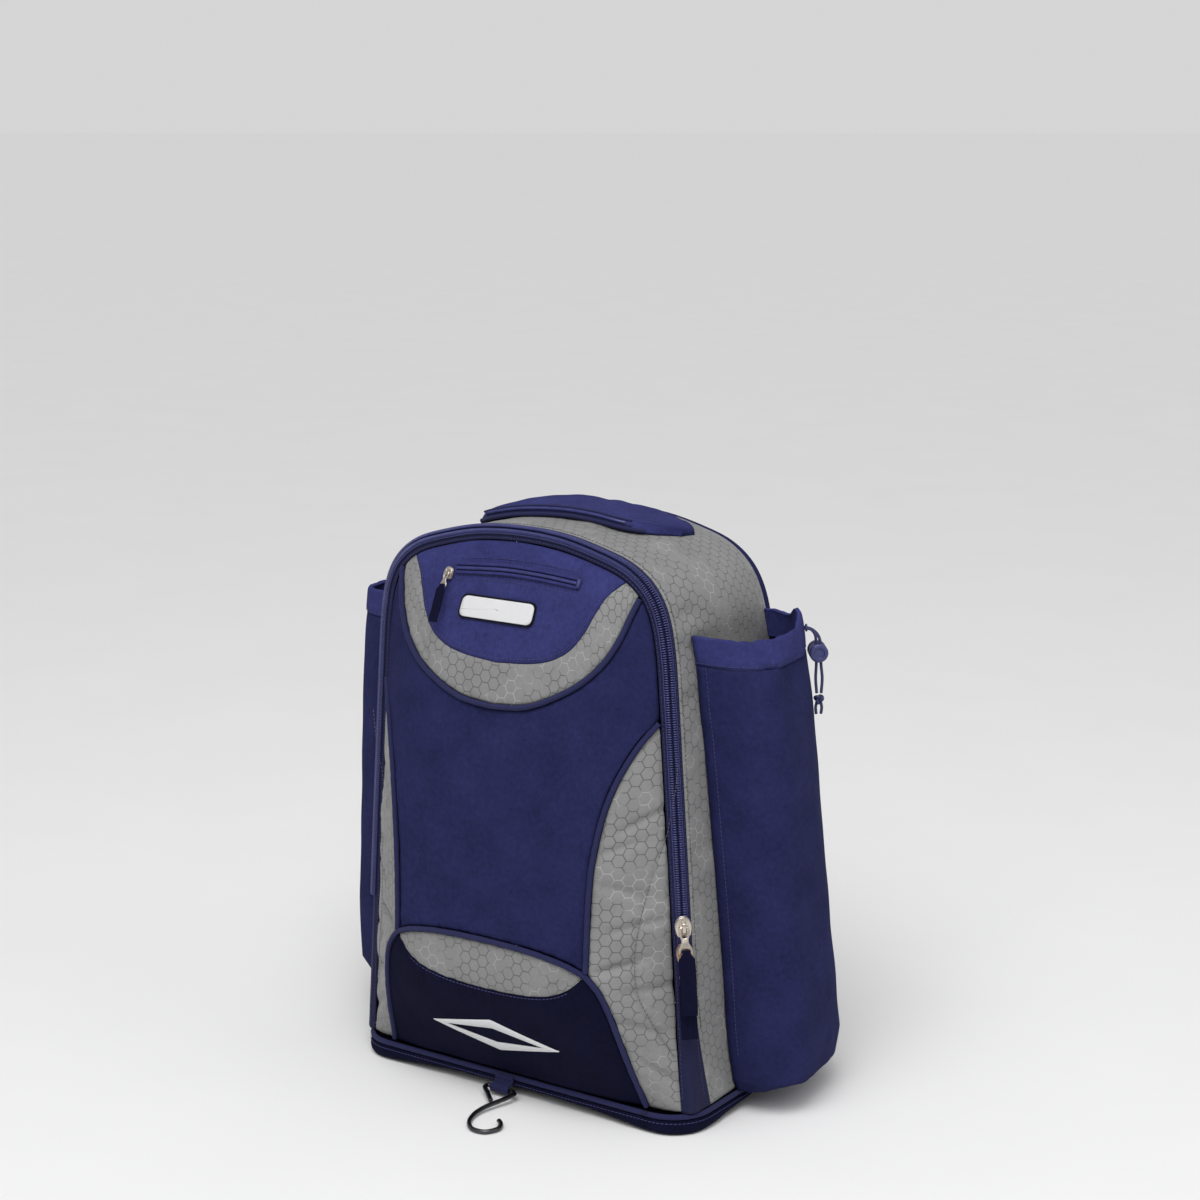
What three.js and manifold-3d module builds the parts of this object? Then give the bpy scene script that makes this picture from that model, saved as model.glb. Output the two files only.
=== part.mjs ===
// A baseball backpack with a bat sleeve on each side, standing empty on its flat base.
// Millimetres. +Z is up, +Y points to the wearer's back, and the front door faces -Y.
// The origin is the centre of the base's underside.

import * as THREE from 'three';
import { mergeVertices } from 'three/addons/utils/BufferGeometryUtils.js';
import Module from 'manifold-3d';

const manifold = await Module();
manifold.setup();

// Driving dimensions of the cloth and its seams
const CLOTH = 2;
const GAP = 0.3;
const SEAM = 0.35;
const PIPING_RADIUS = 2.25;
const PIPED_SEAM = PIPING_RADIUS + 0.65;
const WALL_FOOT = 15;
const BODY_SIDE = 168;

// The main zip runs over this arch. Each row is a point of its right half, from the foot to the crown.
const ZIP_ARCH = [
  { x: 164, z: WALL_FOOT },
  { x: 158.5, z: 95 },
  { x: 153, z: 180 },
  { x: 147, z: 265 },
  { x: 141.5, z: 343 },
  { x: 138, z: 381 },
  { x: 132, z: 408 },
  { x: 121, z: 427 },
  { x: 103, z: 441 },
  { x: 78, z: 450 },
  { x: 40, z: 458.5 },
];
const ZIP_CROWN = 461;
const DOOR_EDGE = -9;
const GUSSET_EDGE = 2;
const DOOR_EDGE_Y = -109;
const GUSSET_FRONT_Y = -97;
const STRIP_WIDENING = 15;
const STRIP_TOP = 110;

// The door bulges forward of its edge by this much on its centre line.
const DOOR_BULGE = [
  { z: 15, depth: 11 },
  { z: 60, depth: 37 },
  { z: 105, depth: 50 },
  { z: 140, depth: 49 },
  { z: 250, depth: 46 },
  { z: 350, depth: 32 },
  { z: 400, depth: 22 },
  { z: 430, depth: 12 },
  { z: 453, depth: 0.5 },
];
const DOOR_SQUARENESS = 4;

// Seams of the door, right halves, as seen from the front
const BAND_LOWER_SEAM = [
  { x: 0, z: 327 },
  { x: 30, z: 330 },
  { x: 55, z: 339.5 },
  { x: 78, z: 353 },
  { x: 95, z: 370 },
  { x: 105, z: 388 },
  { x: 111, z: 406 },
];
const BAND_LOWER_END = 420;
const YOKE_SEAM = [
  { x: 0, z: 361 },
  { x: 30, z: 363.5 },
  { x: 50, z: 368 },
  { x: 66, z: 377 },
  { x: 77, z: 391 },
  { x: 85, z: 408 },
  { x: 92, z: 421 },
];
const YOKE_SEAM_END = 431;
const YOKE_CORNER = 3;
const KNEE = { x: 93, z: 126.5 };
const SIDE_SEAM = [
  KNEE,
  { x: 93.5, z: 160 },
  { x: 94.5, z: 190 },
  { x: 97, z: 220 },
  { x: 103, z: 255 },
  { x: 111, z: 282 },
  { x: 122, z: 307 },
];
const SIDE_SEAM_END = 326;
const SIDE_PANEL_TOP = 314;
const POCKET_SIDE_SEAM = [
  { x: 127, z: WALL_FOOT },
  { x: 122.5, z: 38 },
  { x: 118, z: 62 },
  { x: 111.5, z: 92 },
  { x: 104, z: 113 },
  KNEE,
];
const POCKET_TOP_SEAM = [
  KNEE,
  { x: 77, z: 133 },
  { x: 54, z: 137.5 },
  { x: 28, z: 139.5 },
  { x: 0, z: 140 },
];
const LENS_SEAM = [
  KNEE,
  { x: 80, z: 114 },
  { x: 62, z: 105.5 },
  { x: 35, z: 101 },
  { x: 0, z: 99.5 },
];
const LENS_HALF_WIDTH = 89;

// The back panel leans forward and is padded.
const BACK_FOOT_Y = 104;
const BACK_LEAN = 0.1077;
const BACK_PAD = 10;
const BACK_NARROWING = 0.94;
const BACK_LOWERING = 0.993;

// The gusset swells outward halfway between the door and the back panel. The left shoulder has sunk.
const GUSSET_SWELL = [
  { fromCrown: 0, right: 1, left: 1 },
  { fromCrown: 0.12, right: 3.5, left: 0 },
  { fromCrown: 0.24, right: 7.5, left: -1 },
  { fromCrown: 0.36, right: 7, left: 3 },
  { fromCrown: 0.6, right: 5, left: 5 },
  { fromCrown: 0.85, right: 3, left: 3 },
  { fromCrown: 1, right: 0.5, left: 0.5 },
];
// Each fold is a shallow crease across the gusset, placed from the crown and from the door.
const GUSSET_FOLDS = [
  { fromCrown: 0.2, fromDoor: 0.55, depth: 2.5, tall: 0.03, deep: 0.3 },
  { fromCrown: 0.33, fromDoor: 0.2, depth: 2.5, tall: 0.025, deep: 0.2 },
  { fromCrown: 0.42, fromDoor: 0.12, depth: 2, tall: 0.03, deep: 0.12 },
  { fromCrown: 0.9, fromDoor: 0.15, depth: 1.5, tall: 0.04, deep: 0.15 },
];

// The base board and its piping
const BASE = { front: -121.5, back: 105, frontCorner: 36, backCorner: 24, height: 9, sag: 4 };
// The rim's lower edge rises between the corners, and the flat underside lies inside it.
const BASE_RIM = { rise: 7, cornerX: 150, cornerY: -104, reach: 62 };
const BASE_LEVELS = [
  { inset: 44, height: 0, follows: 0 },
  { inset: 14, height: 0.02, follows: 0.75 },
  { inset: 1.2, height: 0.1, follows: 1 },
  { inset: 0, height: 0.5, follows: 0.5 },
  { inset: 0.9, height: 0.92, follows: 0 },
  { inset: 3.5, height: 1, follows: 0 },
];
const BASE_PIPING_RADIUS = 2.2;

// The bat sleeves: each row is a level of the open wall, from the mouth down to its floor. The left one
// is pushed out further than the right one.
const SLEEVE_LEVELS = [
  { z: 365, right: 54, left: 54, reach: 1, frontY: -75.5 },
  { z: 300, right: 56.5, left: 60, reach: 1, frontY: -70 },
  { z: 220, right: 57, left: 65, reach: 1, frontY: -64.5 },
  { z: 150, right: 56.5, left: 70, reach: 1, frontY: -59.5 },
  { z: 90, right: 56, left: 74, reach: 1, frontY: -55.5 },
  { z: 46, right: 55.5, left: 72, reach: 1, frontY: -52 },
  { z: 24, right: 50, left: 52, reach: 0.97, frontY: -50 },
  { z: 14, right: 28, left: 28, reach: 0.9, frontY: -50 },
  { z: 15.2, right: 8, left: 8, reach: 0.86, frontY: -50 },
  { z: 17.4, right: 1.8, left: 1.8, reach: 0.84, frontY: -50 },
];
const HEM_LEVELS = [
  { z: 388, right: 51.5, left: 53, reach: 1, frontY: -78 },
  { z: 382, right: 53, left: 54.4, reach: 1, frontY: -77.4 },
  { z: 372, right: 53.6, left: 55, reach: 1, frontY: -76.4 },
  { z: 365.6, right: 53.2, left: 54.3, reach: 1, frontY: -75.7 },
];
const SLEEVE_REAR_INSET = 13;
const SLEEVE_SQUARENESS = { front: 3.2, rear: 2.3 };
const SLEEVE_SKEW = 0.12;
const SLEEVE_CLEARANCE = 0.9;
const HEM_THICKNESS = 3.4;
const HEM_GATHER = { waves: 7, depth: 0.8 };
// The gathered cloth stands up in a peak above the eyelet.
const HEM_PEAK = { round: 0.7, width: 0.07, height: 9 };
// Soft upright folds of the sleeve wall, placed round the wall from the front seam to the rear one
const SLEEVE_FOLDS = [
  { round: 0.16, width: 0.035, depth: 2.2 },
  { round: 0.45, width: 0.05, depth: 1.6 },
  { round: 0.72, width: 0.05, depth: 2 },
];

// The flat pocket over the crown: each row is a section from its left end to its right end.
const TOP_POCKET = [
  { x: -84, front: -46, back: 14, rise: 10 },
  { x: -62, front: -56, back: 28, rise: 10.5 },
  { x: -34, front: -56, back: 36, rise: 9 },
  { x: 0, front: -52, back: 38, rise: 5 },
  { x: 34, front: -53, back: 36, rise: 3 },
  { x: 62, front: -50, back: 30, rise: 4.5 },
  { x: 80, front: -34, back: 20, rise: 4.5 },
  { x: 89, front: -12, back: 8, rise: 3.5 },
];

// Colours of the cloth, the moulded parts and the metal
const FINISH = {
  navy: { color: 0x2b2d58, roughness: 0.85, metalness: 0 },
  darkNavy: { color: 0x1c1d3c, roughness: 0.85, metalness: 0 },
  paleNavy: { color: 0x383b6e, roughness: 0.8, metalness: 0 },
  grey: { color: 0x808080, roughness: 0.75, metalness: 0 },
  moulded: { color: 0x33366a, roughness: 0.45, metalness: 0 },
  nickel: { color: 0xc8bdb4, roughness: 0.3, metalness: 1 },
  gunmetal: { color: 0x34353a, roughness: 0.35, metalness: 1 },
};

// Heights are measured from the rim's lower edge, which stands above the surface by the base's sag.
const bag = new THREE.Group();
bag.position.z = BASE.sag;

function addPiece(name, geometry, finish, parent = bag) {
  const mesh = new THREE.Mesh(geometry, new THREE.MeshStandardMaterial(FINISH[finish]));
  mesh.name = name;
  parent.add(mesh);
  return mesh;
}

// A smooth value between the rows of a table, through cubic pieces
function readTable(rows, key, column, at) {
  const last = rows.length - 1;
  if (at <= rows[0][key]) return rows[0][column];
  if (at >= rows[last][key]) return rows[last][column];
  let i = 0;
  while (rows[i + 1][key] < at) i += 1;
  const slope = (j) => {
    const low = rows[Math.max(0, j - 1)];
    const high = rows[Math.min(last, j + 1)];
    return (high[column] - low[column]) / (high[key] - low[key]);
  };
  const span = rows[i + 1][key] - rows[i][key];
  const t = (at - rows[i][key]) / span;
  const cube = t * t * t;
  const square = t * t;
  return (2 * cube - 3 * square + 1) * rows[i][column]
    + (cube - 2 * square + t) * span * slope(i)
    + (3 * square - 2 * cube) * rows[i + 1][column]
    + (cube - square) * span * slope(i + 1);
}

function dent(distance, width) {
  return Math.exp(-(distance * distance) / (width * width));
}

// Flat outlines in the door's plane: x across, y of the Vector2 is the height z
function flat(rows) {
  return rows.map((row) => new THREE.Vector2(row.x, row.z));
}

function mirrored(points) {
  return points.map((point) => new THREE.Vector2(-point.x, point.y)).reverse();
}

function spline(points, samples = 60) {
  return new THREE.SplineCurve(points).getSpacedPoints(samples);
}

const archHalf = flat(ZIP_ARCH);
const archCurve = new THREE.SplineCurve([
  ...archHalf.map((point) => new THREE.Vector2(-point.x, point.y)),
  new THREE.Vector2(0, ZIP_CROWN),
  ...archHalf.slice().reverse(),
]);

// p runs along the arch from 0 at the left foot to 1 at the right foot.
function archPoint(p, outward = 0) {
  const along = THREE.MathUtils.clamp(p, 0, 1);
  const tangent = archCurve.getTangentAt(along);
  return archCurve.getPointAt(along).add(new THREE.Vector2(-tangent.y, tangent.x).multiplyScalar(outward));
}

function archNormal(p) {
  const tangent = archCurve.getTangentAt(THREE.MathUtils.clamp(p, 0, 1));
  return new THREE.Vector3(-tangent.y, 0, tangent.x);
}

// Where the right half of the arch, moved outward, reaches a height
function archAtHeight(height, outward = 0) {
  let low = 0.5;
  let high = 1;
  for (let step = 0; step < 30; step += 1) {
    const middle = (low + high) / 2;
    if (archPoint(middle, outward).y > height) low = middle;
    else high = middle;
  }
  return (low + high) / 2;
}

// Places along the arch, closer together where it bends more
const BEND_WEIGHT = 0.45;

function stations(from, to, count) {
  const samples = 400;
  const weights = [0];
  for (let i = 1; i <= samples; i += 1) {
    const before = archCurve.getTangentAt(THREE.MathUtils.lerp(from, to, (i - 1) / samples));
    const after = archCurve.getTangentAt(THREE.MathUtils.lerp(from, to, i / samples));
    weights.push(weights[i - 1] + (to - from) / samples + BEND_WEIGHT * Math.abs(before.cross(after)));
  }
  return Array.from({ length: count + 1 }, (_, k) => {
    const wanted = (k / count) * weights[samples];
    const i = Math.max(1, weights.findIndex((weight) => weight >= wanted - 1e-12));
    const t = (wanted - weights[i - 1]) / (weights[i] - weights[i - 1]);
    return THREE.MathUtils.lerp(from, to, (i - 1 + t) / samples);
  });
}

const ARCH_STEPS = 32;
const archStations = stations(0, 1, ARCH_STEPS);

const doorHalfWidths = Array.from({ length: 241 }, (_, i) => archPoint(0.5 + i / 480, DOOR_EDGE)).reverse();

function doorHalfWidth(height) {
  const index = doorHalfWidths.findIndex((point) => point.y >= height);
  if (index < 0) return 0;
  if (index === 0) return doorHalfWidths[0].x;
  const low = doorHalfWidths[index - 1];
  const high = doorHalfWidths[index];
  return THREE.MathUtils.mapLinear(height, low.y, high.y, low.x, high.x);
}

// The door's outer face as a point over the flat outline
function doorPoint(flatPoint) {
  const halfWidth = Math.max(1, doorHalfWidth(flatPoint.y));
  const across = Math.min(1, Math.abs(flatPoint.x) / halfWidth);
  const depth = readTable(DOOR_BULGE, 'z', 'depth', flatPoint.y) * (1 - across ** DOOR_SQUARENESS);
  return new THREE.Vector3(flatPoint.x, DOOR_EDGE_Y - depth, flatPoint.y);
}

function doorNormal(flatPoint) {
  const step = 1.5;
  const right = doorPoint(new THREE.Vector2(flatPoint.x + step, flatPoint.y));
  const left = doorPoint(new THREE.Vector2(flatPoint.x - step, flatPoint.y));
  const high = doorPoint(new THREE.Vector2(flatPoint.x, flatPoint.y + step));
  const low = doorPoint(new THREE.Vector2(flatPoint.x, flatPoint.y - step));
  return right.sub(left).cross(high.sub(low)).normalize();
}

function doorPointRaised(flatPoint, lift) {
  return doorPoint(flatPoint).addScaledVector(doorNormal(flatPoint), lift);
}

function backY(height) {
  return BACK_FOOT_Y - BACK_LEAN * height;
}

// Closed bodies

function facingOut(geometry) {
  const at = geometry.attributes.position;
  const a = new THREE.Vector3();
  const b = new THREE.Vector3();
  const c = new THREE.Vector3();
  let volume = 0;
  for (let i = 0; i < geometry.index.count; i += 3) {
    a.fromBufferAttribute(at, geometry.index.getX(i));
    b.fromBufferAttribute(at, geometry.index.getX(i + 1));
    c.fromBufferAttribute(at, geometry.index.getX(i + 2));
    volume += a.dot(b.cross(c));
  }
  if (volume < 0) {
    const order = Array.from(geometry.index.array);
    for (let i = 0; i < order.length; i += 3) [order[i], order[i + 1]] = [order[i + 1], order[i]];
    geometry.setIndex(order);
  }
  geometry.computeVertexNormals();
  return geometry;
}

function bodyFrom(points, triangles) {
  const geometry = new THREE.BufferGeometry().setFromPoints(points);
  geometry.setIndex(triangles);
  return facingOut(geometry);
}

// A wall of even thickness behind a grid of outer points, grid[row][column]
function wall(grid, thickness, outwardSign = 1) {
  const rows = grid.length;
  const columns = grid[0].length;
  const at = (r, c) => grid[THREE.MathUtils.clamp(r, 0, rows - 1)][THREE.MathUtils.clamp(c, 0, columns - 1)];
  const outer = grid.flat();
  const inner = [];
  for (let r = 0; r < rows; r += 1) {
    for (let c = 0; c < columns; c += 1) {
      const across = at(r, c + 1).clone().sub(at(r, c - 1));
      const along = at(r + 1, c).clone().sub(at(r - 1, c));
      const normal = across.cross(along).normalize().multiplyScalar(outwardSign);
      inner.push(at(r, c).clone().addScaledVector(normal, -thickness));
    }
  }
  const count = outer.length;
  const index = (r, c) => r * columns + c;
  const triangles = [];
  const quad = (i, j, k, l) => triangles.push(i, j, k, i, k, l);
  for (let r = 0; r < rows - 1; r += 1) {
    for (let c = 0; c < columns - 1; c += 1) {
      quad(index(r, c), index(r, c + 1), index(r + 1, c + 1), index(r + 1, c));
      quad(count + index(r, c), count + index(r + 1, c), count + index(r + 1, c + 1), count + index(r, c + 1));
    }
  }
  const rim = [];
  for (let c = 0; c < columns - 1; c += 1) rim.push(index(0, c));
  for (let r = 0; r < rows - 1; r += 1) rim.push(index(r, columns - 1));
  for (let c = columns - 1; c > 0; c -= 1) rim.push(index(rows - 1, c));
  for (let r = rows - 1; r > 0; r -= 1) rim.push(index(r, 0));
  rim.forEach((from, i) => {
    const to = rim[(i + 1) % rim.length];
    quad(to, from, count + from, count + to);
  });
  return bodyFrom([...outer, ...inner], triangles);
}

// A body through rings of equal counts: capped at both ends, or closed on itself
function loft(rings, closed = false) {
  const size = rings[0].length;
  const points = rings.flat();
  const triangles = [];
  const spans = closed ? rings.length : rings.length - 1;
  for (let r = 0; r < spans; r += 1) {
    const next = (r + 1) % rings.length;
    for (let i = 0; i < size; i += 1) {
      const j = (i + 1) % size;
      triangles.push(r * size + i, r * size + j, next * size + j, r * size + i, next * size + j, next * size + i);
    }
  }
  if (!closed) {
    [0, rings.length - 1].forEach((r) => {
      const centre = rings[r].reduce((sum, point) => sum.add(point), new THREE.Vector3()).divideScalar(size);
      points.push(centre);
      for (let i = 0; i < size; i += 1) {
        const j = (i + 1) % size;
        const corners = [points.length - 1, r * size + i, r * size + j];
        triangles.push(...(r === 0 ? corners.reverse() : corners));
      }
    });
  }
  return bodyFrom(points, triangles);
}

function circle(radius, sides) {
  const corners = Array.from({ length: sides }, (_, i) => {
    const angle = (i / sides) * 2 * Math.PI;
    return new THREE.Vector2(radius * Math.cos(angle), radius * Math.sin(angle));
  });
  return new THREE.Shape(corners);
}

function tube(points, radius, sides, steps) {
  const path = new THREE.CatmullRomCurve3(points, false, 'centripetal');
  return new THREE.ExtrudeGeometry(circle(radius, sides), { steps, bevelEnabled: false, extrudePath: path });
}

function toSolid(geometry, matrix = new THREE.Matrix4()) {
  const bare = geometry.clone().applyMatrix4(matrix);
  bare.deleteAttribute('normal');
  bare.deleteAttribute('uv');
  const merged = mergeVertices(bare, 1e-4);
  return new manifold.Manifold(new manifold.Mesh({
    numProp: 3,
    vertProperties: new Float32Array(merged.attributes.position.array),
    triVerts: new Uint32Array(merged.index.array),
  }));
}

function fromSolid(solid) {
  const mesh = solid.getMesh();
  const geometry = new THREE.BufferGeometry();
  geometry.setAttribute('position', new THREE.BufferAttribute(new Float32Array(mesh.vertProperties), 3));
  geometry.setIndex(Array.from(mesh.triVerts));
  geometry.computeVertexNormals();
  return geometry;
}

// The panels of the door

function along(points, share) {
  const lengths = [0];
  for (let i = 1; i < points.length; i += 1) {
    lengths.push(lengths[i - 1] + points[i].distanceTo(points[i - 1]));
  }
  const wanted = share * lengths[lengths.length - 1];
  let i = 1;
  while (i < points.length - 1 && lengths[i] < wanted) i += 1;
  const t = (wanted - lengths[i - 1]) / (lengths[i] - lengths[i - 1]);
  return points[i - 1].clone().lerp(points[i], t);
}

// A stretch of the door's edge between two heights of its right half, read upward
function doorEdge(fromHeight, toHeight, samples = 30) {
  const from = archAtHeight(fromHeight, DOOR_EDGE);
  const to = archAtHeight(toHeight, DOOR_EDGE);
  return Array.from({ length: samples + 1 }, (_, i) => {
    return archPoint(THREE.MathUtils.lerp(from, to, i / samples), DOOR_EDGE);
  });
}

function doorEdgeAt(height) {
  return archPoint(archAtHeight(height, DOOR_EDGE), DOOR_EDGE);
}

const bandLowerHalf = spline([...flat(BAND_LOWER_SEAM), doorEdgeAt(BAND_LOWER_END)]);
const bandLowerSeam = [...mirrored(bandLowerHalf), ...bandLowerHalf.slice(1)];
const yokeHalf = spline([...flat(YOKE_SEAM), doorEdgeAt(YOKE_SEAM_END)]);
const sideSeam = spline([...flat(SIDE_SEAM), doorEdgeAt(SIDE_SEAM_END)]);
const pocketSideSeam = spline(flat(POCKET_SIDE_SEAM));
const pocketTopHalf = spline(flat(POCKET_TOP_SEAM));
const pocketTopSeam = [...mirrored(pocketTopHalf).reverse(), ...pocketTopHalf.slice().reverse().slice(1)];
const lensHalf = spline(flat(LENS_SEAM));
const lensSeam = [...mirrored(lensHalf).reverse(), ...lensHalf.slice().reverse().slice(1)];

// A line moved sideways: short is how far, as a number or as a function of the place on the line.
function movedLine(line, short, sign) {
  return line.map((point, i) => {
    const before = line[Math.max(0, i - 1)];
    const after = line[Math.min(line.length - 1, i + 1)];
    const tangent = after.clone().sub(before).normalize();
    const distance = typeof short === 'function' ? short(point) : short;
    return point.clone().add(new THREE.Vector2(-tangent.y, tangent.x).multiplyScalar(sign * distance));
  });
}

const END_REACH = 8;

function withLongEnds(line) {
  const last = line.length - 1;
  const stretch = (end, next) => end.clone().add(end.clone().sub(next).setLength(END_REACH));
  return [stretch(line[0], line[1]), ...line, stretch(line[last], line[last - 1])];
}

function crossing(a, b, c, d) {
  const run = b.clone().sub(a);
  const other = d.clone().sub(c);
  const scale = run.cross(other);
  if (Math.abs(scale) < 1e-9) return null;
  const gap = c.clone().sub(a);
  const t = gap.cross(other) / scale;
  const u = gap.cross(run) / scale;
  return t >= 0 && t <= 1 && u >= 0 && u <= 1 ? run.multiplyScalar(t).add(a) : null;
}

// Where two lines meet, and what is left of each one up to there
function meeting(first, second) {
  for (let i = 0; i < first.length - 1; i += 1) {
    for (let j = 0; j < second.length - 1; j += 1) {
      const point = crossing(first[i], first[i + 1], second[j], second[j + 1]);
      if (point) return { point, first: first.slice(i + 1), second: second.slice(j + 1) };
    }
  }
  throw new Error('two sides of a panel never meet');
}

function trimStarts(first, second) {
  const met = meeting(first, second);
  return [[met.point, ...met.first], [met.point, ...met.second]];
}

// Four sides bound a panel. Each side is a line of flat points and how far the cloth stops short of it:
// low and high run from left to right, left and right run upward.
function trimmedSides(sides) {
  const turned = (line) => line.slice().reverse();
  let low = withLongEnds(movedLine(sides.low.line, sides.low.short, 1));
  let right = withLongEnds(movedLine(sides.right.line, sides.right.short, 1));
  let high = withLongEnds(movedLine(sides.high.line, sides.high.short, -1));
  let left = withLongEnds(movedLine(sides.left.line, sides.left.short, -1));
  [low, left] = trimStarts(low, left);
  [low, right] = trimStarts(turned(low), right);
  low = turned(low);
  [high, left] = trimStarts(high, turned(left));
  left = turned(left);
  [high, right] = trimStarts(turned(high), turned(right));
  return { low, right: turned(right), high: turned(high), left };
}

function panelGrid(sides, columns, rows) {
  const { low, right, high, left } = trimmedSides(sides);
  return Array.from({ length: rows + 1 }, (_, r) => {
    const v = r / rows;
    return Array.from({ length: columns + 1 }, (__, c) => {
      const u = c / columns;
      return new THREE.Vector2()
        .addScaledVector(along(low, u), 1 - v)
        .addScaledVector(along(high, u), v)
        .addScaledVector(along(left, v), 1 - u)
        .addScaledVector(along(right, v), u)
        .addScaledVector(low[0], -(1 - u) * (1 - v))
        .addScaledVector(low[low.length - 1], -u * (1 - v))
        .addScaledVector(high[0], -(1 - u) * v)
        .addScaledVector(high[high.length - 1], -u * v);
    });
  });
}

function doorPanel(name, sides, columns, rows, finish) {
  const grid = panelGrid(sides, columns, rows);
  addPiece(name, wall(grid.map((line) => line.map(doorPoint)), CLOTH), finish);
}

function pipedBelow(height) {
  return (point) => (point.y > height ? SEAM : PIPED_SEAM);
}

function straight(from, to) {
  return [from.clone(), to.clone()];
}

function buildDoor() {
  const centreRight = [...sideSeam, ...doorEdge(SIDE_SEAM_END, BAND_LOWER_END).slice(1)];
  doorPanel('centre_panel', {
    low: { line: pocketTopSeam, short: PIPED_SEAM },
    high: { line: bandLowerSeam, short: PIPED_SEAM },
    right: { line: centreRight, short: pipedBelow(SIDE_SEAM_END - 2) },
    left: { line: mirrored(centreRight).reverse(), short: pipedBelow(SIDE_SEAM_END - 2) },
  }, 12, 12, 'navy');

  const fullYokeSeam = [...mirrored(yokeHalf), ...yokeHalf.slice(1)];
  const bandEnd = doorEdge(BAND_LOWER_END, YOKE_SEAM_END, 6);
  doorPanel('hex_band', {
    low: { line: bandLowerSeam, short: PIPED_SEAM },
    high: { line: fullYokeSeam, short: SEAM },
    right: { line: bandEnd, short: SEAM },
    left: { line: mirrored(bandEnd).reverse(), short: SEAM },
  }, 18, 3, 'grey');

  const cornerIndex = yokeHalf.findIndex((point) => point.x > YOKE_SEAM[YOKE_CORNER].x);
  const yokeLow = yokeHalf.slice(0, cornerIndex + 1);
  const yokeRight = yokeHalf.slice(cornerIndex);
  const crownHalf = doorEdge(YOKE_SEAM_END, ZIP_CROWN + DOOR_EDGE);
  doorPanel('yoke_panel', {
    low: { line: [...mirrored(yokeLow), ...yokeLow.slice(1)], short: 2.5 * SEAM },
    high: { line: [...mirrored(crownHalf).reverse(), ...crownHalf.slice().reverse().slice(1)], short: SEAM },
    right: { line: yokeRight, short: 2.5 * SEAM },
    left: { line: mirrored(yokeRight).reverse(), short: 2.5 * SEAM },
  }, 12, 4, 'paleNavy');

  const sideTop = sideSeam.findIndex((point) => point.y > SIDE_PANEL_TOP);
  const innerLine = [...pocketSideSeam, ...sideSeam.slice(1, sideTop + 1)];
  const outerLine = doorEdge(WALL_FOOT, SIDE_PANEL_TOP);
  const lowRight = straight(innerLine[0], outerLine[0]);
  const highRight = straight(innerLine[innerLine.length - 1], outerLine[outerLine.length - 1]);
  doorPanel('side_panel_right', {
    low: { line: lowRight, short: 0 },
    high: { line: highRight, short: 0 },
    left: { line: innerLine, short: PIPED_SEAM },
    right: { line: outerLine, short: SEAM },
  }, 3, 14, 'grey');
  doorPanel('side_panel_left', {
    low: { line: mirrored(lowRight), short: 0 },
    high: { line: mirrored(highRight), short: 0 },
    left: { line: mirrored(outerLine).reverse(), short: SEAM },
    right: { line: mirrored(innerLine).reverse(), short: PIPED_SEAM },
  }, 3, 14, 'grey');

  const footRight = pocketSideSeam[0];
  doorPanel('lower_pocket', {
    low: { line: straight(new THREE.Vector2(-footRight.x, footRight.y), footRight), short: 0 },
    high: { line: lensSeam, short: SEAM },
    left: { line: mirrored(pocketSideSeam).reverse(), short: PIPED_SEAM },
    right: { line: pocketSideSeam, short: PIPED_SEAM },
  }, 12, 5, 'darkNavy');

  const withinLens = (point) => Math.abs(point.x) <= LENS_HALF_WIDTH;
  const lensLow = lensSeam.filter(withinLens);
  const lensHigh = pocketTopSeam.filter(withinLens);
  doorPanel('pocket_lens', {
    low: { line: lensLow, short: SEAM },
    high: { line: lensHigh, short: PIPED_SEAM },
    left: { line: straight(lensLow[0], lensHigh[0]), short: 0 },
    right: { line: straight(lensLow[lensLow.length - 1], lensHigh[lensHigh.length - 1]), short: 0 },
  }, 12, 2, 'grey');
}

// Piping sits in the slot between two panels and stands a little proud of them.
const PIPING_LIFT = 0.4;

function doorPiping(name, line, fromShare, toShare, steps) {
  const places = Array.from({ length: steps + 1 }, (_, i) => {
    return along(line, THREE.MathUtils.lerp(fromShare, toShare, i / steps));
  });
  const path = places.map((place) => doorPointRaised(place, PIPING_LIFT));
  addPiece(name, tube(path, PIPING_RADIUS, 6, steps), 'paleNavy');
}

function buildPipings() {
  const start = { side: 0.035, band: 0.012 };
  doorPiping('band_piping', bandLowerSeam, start.band, 1 - start.band, 24);
  doorPiping('panel_piping_right', sideSeam, start.side, 1 - start.side, 12);
  doorPiping('panel_piping_left', mirrored(sideSeam).reverse(), start.side, 1 - start.side, 12);
  const leftLeg = mirrored(pocketSideSeam).reverse();
  const pocketLine = [...leftLeg, ...pocketTopSeam.slice(1), ...pocketSideSeam.slice().reverse().slice(1)];
  doorPiping('pocket_piping', pocketLine, 0.001, 0.999, 32);
}

// The gusset between the zip and the back panel

function gussetFrontY(height) {
  const low = Math.max(0, 1 - (height - WALL_FOOT) / (STRIP_TOP - WALL_FOOT));
  return GUSSET_FRONT_Y + STRIP_WIDENING * low ** 1.5;
}

function backEdge(p) {
  const point = archPoint(p, GUSSET_EDGE);
  return new THREE.Vector2(point.x * BACK_NARROWING, WALL_FOOT + (point.y - WALL_FOOT) * BACK_LOWERING);
}

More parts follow.
